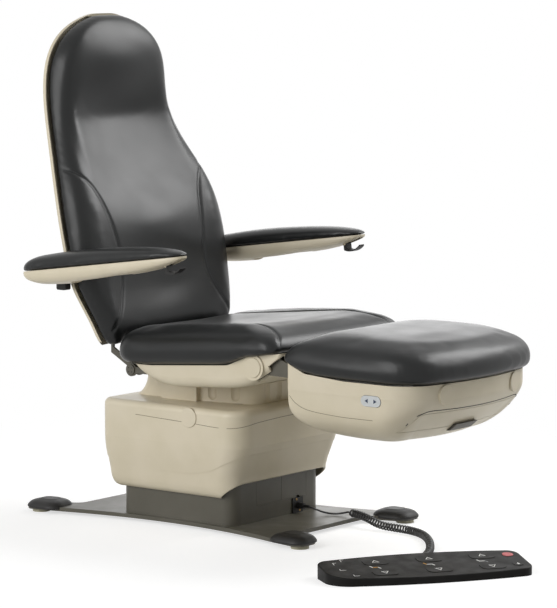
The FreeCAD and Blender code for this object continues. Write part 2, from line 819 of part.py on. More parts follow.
back_side_share = 0.45
back_front_drop_share = 0.93
shell_edge = 9.0
shell_bulge = 27.0
upright_x = 150.0
upright_half = 18.0
upright_depth = 10.0
upright_top_share = 0.74
bar_gap = 3.0
back_bracket_x = 196.0
back_bracket_depth = 8.0
cross_bar_half = 5.0
cross_bar_depth = 6.0
back_bracket_top_share = 0.1
seat_clearance = 6.0
recline_tube_end = 232.0
arm_shaft_radius = 8.0
arm_block_x0 = 303.0
arm_block_x1 = 323.0
arm_block_front = 250.0
arm_block_rear = 281.0
arm_block_bottom = 604.0
arm_block_top = 652.0
arm_spigot = 10.0


def spine_at(z, shares):
    share = (z - back_foot) / back_height
    for index in range(len(spine_rise_share) - 1):
        low = spine_rise_share[index]
        high = spine_rise_share[index + 1]
        if share <= high:
            break
    mix = (share - low) / (high - low)
    return shares[index] * (1 - mix) + shares[index + 1] * mix


def spine_y(z):
    return back_foot_y + back_lean * spine_at(z, spine_lean_share)


def back_section(row):
    z = back_foot + back_height * spine_rise_share[row]
    rear = back_foot_y + back_lean * spine_lean_share[row]
    half = back_half_width * spine_width_share[row]
    thick = back_pad_thick * spine_thick_share[row]
    dish = back_pad_thick * spine_dish_share[row]
    crest = half * back_bolster_share
    front = rear - thick
    flat = half - back_edge
    shoulder = Vector(half, rear - thick * back_side_share, z)
    return trace(
        Vector(-flat, rear, z), Vector(flat, rear, z),
        (shoulder, Vector(crest, rear - thick * back_front_drop_share, z)),
        (Vector(0, front + dish, z), Vector(-crest, rear - thick * back_front_drop_share, z)),
        (Vector(-shoulder.x, shoulder.y, z), Vector(-flat, rear, z)))


def back_cushion():
    return loft([back_section(row) for row in range(len(spine_rise_share))])


def shell_section(row, inset, open_front):
    z = back_foot + back_height * spine_rise_share[row]
    front = back_foot_y + back_lean * spine_lean_share[row] + face_gap - open_front
    half = back_half_width * spine_width_share[row] - inset
    edge = front + open_front + shell_edge - inset
    bulge = shell_bulge * spine_width_share[row]
    return trace(
        Vector(-half, front, z), Vector(half, front, z), Vector(half, edge, z),
        (Vector(0, edge + bulge, z), Vector(-half, edge, z)), Vector(-half, front, z))


def back_shell():
    rows = range(len(spine_rise_share))
    outer = loft([shell_section(row, 0, 0) for row in rows])
    hollow = loft([shell_section(row, moulding_wall, overrun / 2) for row in rows[:-1]])
    sill = hollow.copy()
    sill.translate(Vector(0, 0, -moulding_wall * 2))
    holes = []
    for side in sides:
        x0 = min(side * upright_x, side * arm_block_x0)
        holes.append(rod_x(arm_shaft_radius + face_gap, x0, x0 + arm_block_x0 - upright_x, arm_pivot_y, arm_pivot_z))
    return outer.cut([hollow, sill]).cut(holes)


def bar_outline(z0, z1, x, depth):
    # Side view of a bent bar that follows the back of the cushion.
    levels = [z0] + [back_foot + back_height * rise for rise in spine_rise_share
                     if z0 < back_foot + back_height * rise < z1] + [z1]
    near = [Vector(x, spine_y(z) + bar_gap, z) for z in levels]
    far = [Vector(x, spine_y(z) + bar_gap + depth, z) for z in reversed(levels)]
    front_curve = Part.BSplineCurve()
    front_curve.interpolate(near)
    rear_curve = Part.BSplineCurve()
    rear_curve.interpolate(far)
    edges = [front_curve.toShape(), Part.LineSegment(near[-1], far[0]).toShape(),
             rear_curve.toShape(), Part.LineSegment(far[-1], near[0]).toShape()]
    return Part.Wire(edges)


def back_frame():
    foot = back_foot + moulding_wall * 2
    bracket_top = back_foot + back_height * back_bracket_top_share
    head = back_foot + back_height * upright_top_share
    knee = spine_y(foot) + bar_gap
    knee_top = spine_y(foot + overrun) + bar_gap
    parts = []
    for side in sides:
        x = side * upright_x
        parts.append(prism(bar_outline(foot, head, x - upright_half, upright_depth), Vector(upright_half * 2, 0, 0)))
        x0 = side * back_bracket_x - plate_stock / 2
        parts.append(prism(bar_outline(foot, bracket_top, x0, back_bracket_depth), Vector(plate_stock, 0, 0)))
        parts.append(side_prism([
            (recline_y, recline_z - ear_radius), (knee + back_bracket_depth, back_foot - overrun),
            (knee + back_bracket_depth, foot), (knee_top + back_bracket_depth, foot + overrun),
            (knee_top, foot + overrun), (knee, foot), (knee, back_foot - seat_clearance),
            (seat_rear + seat_clearance, recline_z + ear_radius), (recline_y, recline_z + ear_radius)],
            [0] * 9, x0, x0 + plate_stock))
        parts.append(rod_x(ear_radius, x0, x0 + plate_stock, recline_y, recline_z))
    for z, reach in ((foot + overrun, back_bracket_x), (bracket_top, upright_x)):
        y = spine_y(z + cross_bar_half) + bar_gap
        parts.append(span_box(-reach, reach, y, y + cross_bar_depth, z - cross_bar_half, z + cross_bar_half))
    parts.append(rod_x(recline_tube_radius, -recline_tube_end, recline_tube_end, recline_y, recline_z))
    parts.append(crank(ram_back_x, recline_y, recline_z, back_crank))
    return fuse(parts[0], *parts[1:])


def arm_pivots():
    pivots = []
    for side in sides:
        block = side_prism([
            (arm_block_front, arm_block_bottom), (arm_block_rear, arm_block_bottom),
            (arm_block_rear, arm_block_top), (arm_block_front, arm_block_top)],
            [upright_depth / 2] * 4, arm_block_x0, arm_block_x1)
        shaft = rod_x(arm_shaft_radius, upright_x + upright_half + running_gap, arm_block_x0, arm_pivot_y, arm_pivot_z)
        spigot = rod_x(arm_spigot, arm_block_x1, arm_reach_x, arm_pivot_y, arm_pivot_z)
        pivot = fuse(block, shaft, spigot)
        pivots.append(pivot if side > 0 else mirrored(pivot))
    return pivots


# Arms: body, cushion and release lever, drawn level about the pivot and then pitched

arm_split = 24.5
arm_rear = 64.0
arm_front = 455.0
arm_half = 44.0
arm_depth = 41.0
arm_pad_half = 47.5
arm_pad_height = 42.0
arm_reach_share = (0.0, 0.012, 0.045, 0.14, 0.36, 0.62, 0.86, 0.95, 0.985, 1.0)
arm_pad_width_share = (0.36, 0.7, 0.92, 1.0, 1.0, 0.97, 0.9, 0.72, 0.5, 0.26)
arm_pad_height_share = (0.3, 0.52, 0.74, 0.92, 1.0, 0.9, 0.64, 0.42, 0.28, 0.16)
arm_body_width_share = (0.5, 0.76, 0.92, 1.0, 1.0, 0.96, 0.88, 0.66, 0.42, 0.2)
arm_body_depth_share = (0.3, 0.52, 0.74, 0.95, 1.0, 0.84, 0.6, 0.36, 0.22, 0.12)
arm_body_inset = 3.0
arm_flat_share = 0.97
arm_side_share = 0.4
arm_shoulder_share = 0.82
arm_crest_share = 0.74
lever_u = 398.0
lever_v = 3.0
lever_half = 11.0
lever_eye = 5.0
lever_pin = 2.5
lever_reach = 46.0
lever_drop = 16.0
lever_thick = 4.0
lever_slot_gap = 1.0
lever_swing_depth = 14.0
arm_trough_half = 26.0
arm_trough_start_share = 0.3
arm_trough_end_share = 0.68
arm_trough_depth = 9.0


def arm_section(station, half, height, level, sense):
    # One cross section of the arm: flat on the split, full at the sides, crowned away from it.
    flat = half * arm_flat_share
    crest = half * arm_crest_share
    side = level + sense * height * arm_side_share
    shoulder = level + sense * height * arm_shoulder_share
    return trace(
        Vector(-flat, -station, level), Vector(flat, -station, level),
        (Vector(half, -station, side), Vector(crest, -station, shoulder)),
        (Vector(0, -station, level + sense * height), Vector(-crest, -station, shoulder)),
        (Vector(-half, -station, side), Vector(-flat, -station, level)))


def arm_place(shape, side):
    placed = turned(shape, Vector(0, 0, 0), axis_x, -arm_pitch_deg)
    placed.translate(Vector(side * arm_reach_x, arm_pivot_y, arm_pivot_z))
    return placed


def arm_stations(inset):
    span = arm_front + arm_rear - inset * 2
    return [span * share - arm_rear + inset for share in arm_reach_share]


def arm_cushion(side):
    wires = []
    for station, width, height in zip(arm_stations(0), arm_pad_width_share, arm_pad_height_share):
        wires.append(arm_section(station, arm_pad_half * width, arm_pad_height * height, arm_split, 1))
    return arm_place(loft(wires), side)


def arm_body(side):
    wires = []
    for station, width, depth in zip(arm_stations(arm_body_inset), arm_body_width_share, arm_body_depth_share):
        wires.append(arm_section(station, arm_half * width, arm_depth * depth, arm_split - face_gap, -1))
    body = loft(wires)
    inner = -side * arm_half * 2
    bore = rod_x(arm_spigot + running_gap, min(inner, 0), max(inner, 0) + running_gap, 0, 0)
    slot = span_box(-lever_half - lever_slot_gap, lever_half + lever_slot_gap, -lever_u - lever_reach * 2,
                    -lever_u + lever_eye * 2, -arm_depth, lever_v + lever_swing_depth)
    span = arm_front + arm_rear
    trough = span_box(-arm_trough_half, arm_trough_half, arm_rear - span * arm_trough_end_share,
                      arm_rear - span * arm_trough_start_share, -arm_depth, arm_split - arm_depth + arm_trough_depth)
    pin = rod_x(lever_pin, -lever_half - lever_slot_gap * 2, lever_half + lever_slot_gap * 2, -lever_u, lever_v)
    return arm_place(body.cut([bore, slot, trough]).fuse(pin), side)


def arm_lever(side):
    x = -lever_half
    tip_u = lever_u + lever_reach
    low = lever_v - lever_drop
    profile = trace(
        Vector(x, -lever_u + lever_eye, lever_v), (Vector(x, -lever_u, lever_v + lever_eye),
                                                   Vector(x, -lever_u - lever_eye, lever_v)),
        Vector(x, -lever_u - lever_eye, low + lever_thick),
        (Vector(x, -lever_u - lever_reach / 2, low), Vector(x, -tip_u, lever_v - lever_eye)),
        Vector(x, -tip_u, lever_v - lever_eye - lever_thick),
        (Vector(x, -lever_u - lever_reach / 2, low - lever_thick), Vector(x, -lever_u + lever_eye, low)),
        Vector(x, -lever_u + lever_eye, lever_v))
    blade = prism(profile, Vector(lever_half * 2, 0, 0))
    bore = rod_x(lever_pin + running_gap, -lever_half * 2, lever_half * 2, -lever_u, lever_v)
    return arm_place(blade.cut(bore), side)


# Leg section: hinged bracket with rails, sliding runners, housing, cushion, tray

leg_corner_rear = 24.0
leg_corner_run = 130.0
leg_corner_start = leg_front - leg_corner_run
leg_corner_end_x = 196.0
leg_bow = 22.0
leg_pad_inset = 26.0
leg_pad_rise_share = (0.0, 0.13, 0.34, 0.57, 0.76, 0.9, 1.0)
leg_pad_inset_share = (0.54, 0.12, 0.0, 0.13, 0.55, 1.4, 3.0)
leg_pad_front_share = (0.54, 0.12, 0.0, 0.2, 0.9, 2.6, 5.2)
leg_join_rear = 468.0
leg_join_rear_run = 74.0
leg_join_front_run = 190.0
leg_join_mid = 443.0
shell_inset = 14.0
shell_front_inset = 22.0
shell_top_z = 472.0
shell_corner = 18.0
shell_taper_top = 400.0
shell_side_taper = 105.0
shell_end_taper = 138.0
shell_rise_share = (0.0, 0.067, 0.167, 0.317, 0.54, 0.7, 1.0)
shell_side_share = (1.0, 0.67, 0.42, 0.21, 0.05, 0.015, 0.0)
shell_rear_share = (1.0, 0.73, 0.4, 0.16, 0.04, 0.008, 0.0)
shell_front_share = (1.0, 0.76, 0.61, 0.45, 0.26, 0.13, 0.0)
leg_disc_x = 147.0
leg_disc_z = 407.0
tray_half = 205.0
tray_top = 361.0
tray_bottom = 316.0
tray_gap = 1.0
tray_lean = 18.0
tray_rib_x = 165.0
tray_rib_thick = 5.0
tray_rib_run = 146.0
tray_rib_front = leg_front - tray_rib_run
tray_front_wall = 5.0
tray_wall = 2.5
tray_rear_run = 60.0
tray_rear = leg_rear + tray_rear_run
tray_side_half = 176.0
tray_depth = 30.0
pull_half = 46.0
pull_proud = 10.0
pull_low = 14.0
pull_high = 4.0
bracket_x = 239.0
bracket_run = 46.0
bracket_reach = leg_rear + bracket_run
bracket_low = 424.0
bracket_high = 444.0
bracket_peak_run = 53.0
bracket_peak_y = leg_hinge_y - bracket_peak_run
bracket_peak_z = 474.0
rail_half_height = 11.0
rail_z = 418.0
rail_front_run = 104.0
rail_front = leg_front - rail_front_run
rail_x0 = 226.0
rail_x1 = 242.0
runner_front_run = 78.0
runner_rear_run = 130.0
runner_front = leg_front - runner_front_run
runner_rear = leg_rear + runner_rear_run
runner_width = 10.0
runner_bar = 26.0
switch_run = 172.0
switch_y = switch_run - leg_front
switch_z = 393.0
switch_half_length = 29.0
switch_half_height = 13.0
switch_thick = 5.0
switch_proud = 1.0
switch_gap = 0.8
hub_radius = 3.0
hub_inset = 2.0


def leg_plan(inset, rear_inset, front_inset, radius, z):
    # Plan of the leg section: square at the hinge end, bowed at the foot end.
    half = leg_half_width - inset
    rear = -leg_rear - rear_inset
    nose = -leg_front + front_inset
    corner_x = leg_corner_end_x * half / leg_half_width
    corner = Vector(corner_x, nose + leg_bow, z)
    tangent = radius * (1 - math.sqrt(1 / 2))
    side_end = Vector(half, -leg_corner_start + front_inset / 2, z)
    middle, _ = swing(side_end, axis_y * -1, corner)
    return trace(
        Vector(-half + radius, rear, z), Vector(half - radius, rear, z),
        (Vector(half - tangent, rear - tangent, z), Vector(half, rear - radius, z)), side_end,
        (middle, corner), (Vector(0, nose, z), Vector(-corner.x, corner.y, z)),
        (Vector(-middle.x, middle.y, z), Vector(-side_end.x, side_end.y, z)),
        Vector(-half, rear - radius, z), (Vector(-half + tangent, rear - tangent, z), Vector(-half + radius, rear, z)))


def leg_join(gap):
    # Everything above the line where the leg cushion meets its housing.
    x = -leg_half_width - overrun
    high = leg_pad_bottom + leg_pad_thick * 2
    rear = -leg_rear + overrun
    line = [Vector(x, rear, leg_join_rear + gap), Vector(x, -leg_rear - shell_inset, leg_join_rear + gap),
            Vector(x, -leg_rear - leg_join_rear_run, leg_join_mid + gap),
            Vector(x, -leg_rear - leg_join_front_run, leg_pad_bottom + face_gap + gap),
            Vector(x, -leg_front - overrun, leg_pad_bottom + gap), Vector(x, -leg_front - overrun, high),
            Vector(x, rear, high)]
    return prism(trace(line[0], *line[1:], line[0]), Vector(-x * 2, 0, 0))


def leg_cushion():
    wires = []
    for rise, inset, front in zip(leg_pad_rise_share, leg_pad_inset_share, leg_pad_front_share):
        step = leg_pad_inset * inset
        wires.append(leg_plan(step, step, leg_pad_inset * front, leg_corner_rear + step / 2,
                              leg_pad_bottom + leg_pad_thick * rise))
    return loft(wires).common(leg_join(0))


def leg_hull(inset, lift):
    wires = []
    span = shell_taper_top - leg_shell_bottom - lift
    shares = zip(shell_rise_share, shell_side_share, shell_rear_share, shell_front_share)
    for rise, side, rear, front in shares:
        step = shell_side_taper * side
        wires.append(leg_plan(shell_inset + inset + step, shell_inset + inset + shell_end_taper * rear,
                              shell_front_inset + inset + shell_end_taper * front, shell_corner + step / 2,
                              leg_shell_bottom + lift + span * rise))
    upright = leg_plan(shell_inset + inset, shell_inset + inset, shell_front_inset + inset, shell_corner,
                       shell_taper_top)
    return loft(wires).fuse(prism(upright, Vector(0, 0, shell_top_z - shell_taper_top)))


def tray_zone(gap):
    half = tray_half + gap
    wire = trace(
        Vector(-half, -leg_front - overrun, tray_top + gap), Vector(half, -leg_front - overrun, tray_top + gap),
        Vector(half + tray_lean, -leg_front - overrun, tray_bottom - gap),
        Vector(-half - tray_lean, -leg_front - overrun, tray_bottom - gap),
        Vector(-half, -leg_front - overrun, tray_top + gap))
    return prism(wire, Vector(0, leg_front + overrun - leg_corner_start, 0))


def stadium(half_length, half_height, x0, x1, y, z):
    # A slot shape seen from the side, its long way along Y.
    run = half_length - half_height
    wire = trace(
        Vector(x0, y - run, z - half_height), Vector(x0, y + run, z - half_height),
        (Vector(x0, y + half_length, z), Vector(x0, y + run, z + half_height)),
        Vector(x0, y - run, z + half_height),
        (Vector(x0, y - half_length, z), Vector(x0, y - run, z - half_height)))
    return prism(wire, Vector(x1 - x0, 0, 0))


def tray_ribs():
    # Two ribs that stand on the floor of the housing and carry the tray.
    floor = tray_bottom + moulding_wall
    ribs = []
    for side in sides:
        x0 = side * tray_rib_x - tray_rib_thick / 2
        ribs.append(span_box(x0, x0 + tray_rib_thick, -tray_rib_front, -tray_rear,
                             leg_shell_bottom, floor - running_gap).common(leg_hull(0, 0)))
    return ribs


def leg_shell():
    outer = leg_hull(0, 0)
    hollow = leg_hull(moulding_wall, moulding_wall)
    shell = outer.cut(hollow).cut(leg_join(-face_gap))
    shell = fuse(shell, *tray_ribs())
    cuts = [tray_zone(tray_gap)]
    side_x = leg_half_width - shell_inset
    for side in sides:
        a = side * (side_x - moulding_wall * 2)
        b = side * (side_x + overrun)
        cuts.append(stadium(switch_half_length + switch_gap, switch_half_height + switch_gap,
                            min(a, b), max(a, b), switch_y, switch_z))
        rail_mid = side * (rail_x0 + rail_x1) / 2
        half = (rail_x1 - rail_x0) / 2 + face_gap * 4
        cuts.append(span_box(rail_mid - half, rail_mid + half, -leg_rear - leg_corner_rear * 2, -leg_rear + overrun,
                             rail_z - rail_half_height * 2, shell_top_z + overrun))
    return shell.cut(cuts)


def leg_caps():
    span = leg_front - shell_front_inset
    radius = (leg_corner_end_x ** 2 + leg_bow ** 2) / (2 * leg_bow)
    angle = math.asin(leg_disc_x / radius)
    centre_y = -span + radius
    place = Vector(leg_disc_x, centre_y - radius * math.cos(angle), leg_disc_z)
    outward = Vector(math.sin(angle), -math.cos(angle), 0)
    cap = disc(place, outward).cut(leg_hull(0, 0))
    return [cap, mirrored(cap)]


def debris_tray():
    # The front is a piece of the housing's skin; the box behind it is open at the top.
    front = leg_hull(0, 0).cut(leg_hull(tray_front_wall, moulding_wall)).common(tray_zone(0))
    box_front = -leg_front + shell_front_inset + tray_front_wall * 3
    low = tray_bottom + moulding_wall
    high = low + tray_depth
    half = tray_side_half
    box = span_box(-half, half, box_front, -tray_rear, low, high)
    box = box.cut(span_box(-half + tray_wall, half - tray_wall, box_front + tray_wall,
                           -tray_rear - tray_wall, low + tray_wall, high + overrun))
    box = box.common(leg_hull(moulding_wall * 2, moulding_wall * 2))
    arms = []
    for x in (-half, half - tray_wall):
        arm = span_box(x, x + tray_wall, -leg_front, -tray_rib_front, low, high)
        arms.append(arm.common(leg_hull(0, 0)))
    return fuse(front, box, *arms)


def tray_pull():
    lip = span_box(-pull_half, pull_half, -leg_front, -leg_corner_start, tray_bottom - pull_low,
                   tray_bottom + pull_high)
    return lip.common(leg_hull(-pull_proud, 0).cut(leg_hull(-face_gap, 0)))


def leg_bracket():
    parts = []
    for side in sides:
        x0 = side * bracket_x - plate_stock / 2
        plate = side_prism([
            (leg_hinge_y + ear_radius / 2, leg_hinge_z - ear_radius), (-bracket_reach, bracket_low),
            (-bracket_reach, bracket_high), (bracket_peak_y, bracket_peak_z),
            (leg_hinge_y, leg_hinge_z + ear_radius)], [0] * 5, x0, x0 + plate_stock)
        x_in = min(side * rail_x0, side * rail_x1)
        rail = span_box(x_in, x_in + rail_x1 - rail_x0, -rail_front, -bracket_reach,
                        rail_z - rail_half_height, rail_z + rail_half_height)
        tongue = span_box(x0, x0 + plate_stock, -bracket_reach - overrun, -bracket_reach + overrun,
                          rail_z - rail_half_height, bracket_high - overrun / 2)
        parts += [plate, rail, tongue, rod_x(ear_radius, x0, x0 + plate_stock, leg_hinge_y, leg_hinge_z)]
    parts.append(rod_x(leg_tube_radius, -bracket_x, bracket_x, leg_hinge_y, leg_hinge_z))
    parts.append(crank(ram_leg_x, leg_hinge_y, leg_hinge_z, leg_crank))
    return fuse(parts[0], *parts[1:])


def leg_runners():
    parts = []
    top = leg_pad_bottom - face_gap
    for side in sides:
        edge = side * (rail_x0 - running_gap)
        x0 = min(edge, edge - side * runner_width)
        parts.append(span_box(x0, x0 + runner_width, -runner_front, -runner_rear,
                              rail_z - rail_half_height, top))
    for y in (-runner_front, -runner_rear - runner_bar):
        reach = rail_x0 - running_gap
        parts.append(span_box(-reach, reach, y, y + runner_bar, rail_z + running_gap, top))
    return fuse(parts[0], *parts[1:])


def leg_switch(side):
    face_x = leg_half_width - shell_inset
    a = side * (face_x - switch_thick)
    b = side * (face_x + switch_proud)
    rocker = stadium(switch_half_length, switch_half_height, min(a, b), max(a, b), switch_y, switch_z)
    half = switch_half_height - hub_inset
    return fuse(rocker, rod_z(hub_radius, switch_z - half, switch_z + half, a, switch_y))


# Foot control: wedge housing, eight press pads, gland

control_x = -322.0
control_y = -874.0
control_turn_deg = -35.3
control_rear_height = 40.0
control_front_height = 17.0
control_bow = 16.0
control_corner = 30.0
control_nose_corner = 62.0
control_edge = 3.0
button_first = -112.0
button_pitch = 134.0
button_row = 38.0
button_half_l = 31.0
button_half_d = 21.0
button_corner = 14.0
button_pocket = 9.0
button_thick = 6.0
button_proud = 0.8
button_gap = 0.6
stop_l = 222.0
stop_d = -36.0
home_d = 34.0
round_radius = 13.0
gland_l = 45.0
gland_radius = 11.5
gland_barrel = 8.0
gland_length = 24.0
gland_collar = 6.0
gland_z = 19.0
button_names = (("raise", "lower"), ("back_up", "back_down"), ("leg_up", "leg_down"))


def control_place(shape):
    placed = turned(shape, Vector(0, 0, 0), axis_z, control_turn_deg)
    placed.translate(Vector(control_x, control_y, 0))
    return placed


def control_slope():
    return math.degrees(math.atan((control_rear_height - control_front_height) / control_depth))


def control_tilt(shape):
    # From flat to lying on the sloped top face; local rear is +Y.
    middle = (control_rear_height + control_front_height) / 2
    tilted = turned(shape, Vector(0, 0, 0), axis_x, control_slope())
    tilted.translate(Vector(0, 0, middle))
    return tilted


def button_shape(half_l, half_d, corner, place, z0, z1):
    l, d = place
    points = [Vector(l - half_l, -d - half_d, z0), Vector(l + half_l, -d - half_d, z0),
              Vector(l + half_l, -d + half_d, z0), Vector(l - half_l, -d + half_d, z0)]
    return control_tilt(prism(rounded(points, [corner] * 4), Vector(0, 0, z1 - z0)))


def button_places():
    places = {}
    for index, names in enumerate(button_names):
        for side, name in zip(sides, names):
            place = (button_first + button_pitch * index, side * button_row)
            places[name] = place + (button_half_l, button_half_d, button_corner)
    places["stop"] = (stop_l, stop_d, round_radius, round_radius, round_radius - control_edge / 2)
    places["home"] = (stop_l, home_d, round_radius, round_radius, round_radius - control_edge / 2)
    return places


def foot_control_housing():
    half_l = control_length / 2
    half_d = control_depth / 2
    side_d = half_d - control_bow
    rear_bow = Vector(0, half_d, 0)
    front_bow = Vector(0, -half_d, 0)
    c = control_corner
    n = control_nose_corner
    ease = 1 - math.sqrt(1 / 2)
    wire = trace(
        Vector(-half_l + c, side_d, 0), (rear_bow, Vector(half_l - c, side_d, 0)),
        (Vector(half_l - c * ease, side_d - c * ease, 0), Vector(half_l, side_d - c, 0)),
        Vector(half_l, -side_d + c, 0),
        (Vector(half_l - c * ease, -side_d + c * ease, 0), Vector(half_l - c, -side_d, 0)),
        (front_bow, Vector(-half_l + n, -side_d, 0)),
        (Vector(-half_l + n * ease, -side_d + n * ease, 0), Vector(-half_l, -side_d + n, 0)),
        Vector(-half_l, side_d - c, 0),
        (Vector(-half_l + c * ease, side_d - c * ease, 0), Vector(-half_l + c, side_d, 0)))
    block = prism(wire, Vector(0, 0, control_rear_height * 2))
    lid = span_box(-control_length, control_length, -control_depth, control_depth, 0, control_rear_height * 2)
    wedge = block.cut(control_tilt(lid))
    rim = [edge for edge in wedge.Edges if edge.BoundBox.ZMin > control_edge * 2
           and edge.BoundBox.DiagonalLength > control_edge and not is_upright(edge)]
    wedge = wedge.makeFillet(control_edge, rim)
    pockets = []
    for l, d, half_l, half_d, corner in button_places().values():
        pockets.append(button_shape(half_l + button_gap, half_d + button_gap, corner + button_gap, (l, d),
                                    -button_pocket, overrun))
    return control_place(wedge.cut(pockets))


def is_upright(edge):
    box = edge.BoundBox
    return box.XLength < control_edge / 10 and box.YLength < control_edge / 10


def foot_buttons():
    shapes = {}
    for name, (l, d, half_l, half_d, corner) in button_places().items():
        pad = button_shape(half_l, half_d, corner, (l, d), button_proud - button_thick, button_proud)
        shapes[name] = control_place(pad)
    return shapes


def control_rear_point(local_l):
    radius = (((control_length / 2 - control_corner) ** 2) + control_bow ** 2) / (2 * control_bow)
    sag = radius - math.sqrt(radius ** 2 - local_l ** 2)
    return control_depth / 2 - sag


def foot_control_gland():
    start = control_rear_point(gland_l)
    barrel = rod_y(gland_barrel, start + running_gap, start + gland_length, gland_l, gland_z)
    collar = rod_y(gland_radius, start + running_gap, start + gland_collar, gland_l, gland_z)
    return control_place(fuse(barrel, collar))


# The foot control's cord: a straight lead on the base plate, then the curly cord on the floor

plug_radius = 5.0
plug_body_radius = 8.0
plug_length = 26.0
lead_radius = 2.5
curl_radius = 8.7
curl_wire_radius = 2.3
curl_turns = 72
curl_steps = 16
curl_straight = 7.0
cord_gap = 0.6
cord_bend_share = 0.45
lead_route = [
    (83.0, -224.0, 38.0),
    (84.0, -243.0, 34.0),
    (93.0, -264.0, 26.0),
    (106.0, -284.0, 22.4),
    (114.5, -304.0, 24.5),
    (115.0, -325.0, 30.3)]
curl_route = [
    (115.0, -326.4, 30.7),
    (107.0, -356.0, 31.0),
    (96.0, -400.0, 27.0),
    (88.0, -444.0, 14.0),
    (92.0, -490.0, 11.5),
    (90.0, -540.0, 11.2),
    (66.0, -594.0, 11.2),
    (18.0, -646.0, 11.2),
    (-42.0, -694.0, 11.2),
    (-102.0, -734.0, 11.2),
    (-160.0, -764.0, 12.0),
    (-202.0, -786.0, 16.0)]


def cord_edges(points):
    # Straight runs joined by tangent arcs, each arc as large as its two runs allow.
    edges = []
    radii = []
    here = points[0]
    for index in range(1, len(points) - 1):
        corner = points[index]
        back = points[index - 1] - corner
        ahead = points[index + 1] - corner
        reach = cord_bend_share * min(back.Length, ahead.Length)
        enter = corner + Vector(back).normalize() * reach
        leave = corner + Vector(ahead).normalize() * reach
        half = Vector(back).normalize().getAngle(Vector(ahead).normalize()) / 2
        radius = reach * math.tan(half)
        inward = (Vector(back).normalize() + Vector(ahead).normalize()).normalize()
        middle = corner + inward * (radius / math.sin(half) - radius)
        edges.append(Part.LineSegment(here, enter).toShape())
        edges.append(Part.Arc(enter, middle, leave).toShape())
        radii.append(round(radius))
        here = leave
    edges.append(Part.LineSegment(here, points[-1]).toShape())
    print("arc radii", radii)
    return edges


def swept(edges, radius, name):
    path = Part.Wire(edges)
    start = edges[0].firstVertex().Point
    heading = (edges[0].lastVertex().Point - start).normalize()
    ring = Part.Wire([Part.makeCircle(radius, start, heading)])
    tube = path.makePipeShell([ring], True, False)
    share = tube.Volume / (math.pi * radius ** 2 * path.Length)
    print(name, "length", round(path.Length, 1), "volume share", round(share, 4))
    return tube


def route_frames(edges, count):
    # Places along the route with a heading and a sideways direction that never twists.
    total = sum(edge.Length for edge in edges) - curl_straight * 2
    frames = []
    sideways = axis_x
    for step in range(count + 1):
        distance = curl_straight + total * step / count
        for edge in edges:
            if distance <= edge.Length:
                break
            distance -= edge.Length
        at = edge.getParameterByLength(distance)
        heading = edge.tangentAt(at).normalize()
        sideways = (sideways - heading * sideways.dot(heading)).normalize()
        frames.append((edge.valueAt(at), heading, sideways))
    return frames


def curl_points(edges):
    # The helix round the route; its first and last turns grow out of the straight ends.
    count = curl_turns * curl_steps
    points = []
    for step, (place, heading, sideways) in enumerate(route_frames(edges, count)):
        share = min(step, count - step, curl_steps) / curl_steps
        radius = curl_radius * share * share * (3 - 2 * share)
        angle = 2 * math.pi * step / curl_steps
        upright = heading.cross(sideways)
        points.append(place + (sideways * math.cos(angle) + upright * math.sin(angle)) * radius)
    return points


def biarc(here, heading, there, arriving):
    # Two tangent arcs from one place and heading to the next.
    chord = there - here
    both = chord.dot(heading + arriving)
    spread = (1 - heading.dot(arriving)) * 2
    reach = (math.sqrt(both ** 2 + spread * chord.dot(chord)) - both) / spread
    first = here + heading * reach
    second = there - arriving * reach
    middle = (first + second) / 2
    turn = (second - first).normalize()
    edges = []
    for start, leaving, end in ((here, heading, middle), (middle, turn, there)):
        via, _ = swing(start, leaving, end)
        edges.append(Part.Arc(start, via, end).toShape())
    return edges


def least_gap(points):
    # Between the wire's turns, measured on points, skirting those of the same half turn.
    least = curl_radius
    apart = curl_steps * 5 // 8
    for index, point in enumerate(points):
        for other in points[index + apart:index + curl_steps * 3]:
            least = min(least, point.distanceToPoint(other))
    return least - curl_wire_radius * 2


def curl_wire(edges):
    points = curl_points(edges)
    half = curl_steps // 2
    knots = list(range(0, len(points), half))
    headings = []
    for knot in knots:
        if knot in (knots[0], knots[-1]):
            edge = edges[0] if knot == 0 else edges[-1]
            headings.append((edge.lastVertex().Point - edge.firstVertex().Point).normalize())
        else:
            headings.append((points[knot + 1] - points[knot - 1]).normalize())
    wire = [Part.LineSegment(edges[0].firstVertex().Point, points[0]).toShape()]
    for index in range(len(knots) - 1):
        wire += biarc(points[knots[index]], headings[index], points[knots[index + 1]], headings[index + 1])
    wire.append(Part.LineSegment(points[-1], edges[-1].lastVertex().Point).toShape())
    print("curls", curl_turns, "least gap to itself", round(least_gap(points), 2))
    return wire


def curl_end():
    # The gland's mouth in the chair's frame, where the curly cord ends.
    local = Vector(gland_l, control_rear_point(gland_l) + gland_length + cord_gap, gland_z)
    turn = math.radians(control_turn_deg)
    return Vector(control_x + local.x * math.cos(turn) - local.y * math.sin(turn),
                  control_y + local.x * math.sin(turn) + local.y * math.cos(turn), local.z)


def pedal_cord():
    lead = cord_edges([Vector(*point) for point in lead_route])
    curl = cord_edges([Vector(*point) for point in curl_route] + [curl_end()])
    return swept(lead, lead_radius, "lead"), swept(curl_wire(curl), curl_wire_radius, "curl")


def pedal_cord_plug():
    face_y = -pedestal_front - socket_proud
    nose = rod_y(plug_radius, face_y - socket_barrel / 2 - running_gap, face_y - running_gap, socket_x, socket_z)
    body_start = face_y - socket_barrel / 2 - running_gap
    body = rod_y(plug_body_radius, body_start - plug_length / 2, body_start, socket_x, socket_z)
    tail_end = lead_route[0][1] + cord_gap
    tail = rod_y(plug_body_radius / 2, tail_end, body_start, socket_x, socket_z)
    return fuse(nose, body, tail)


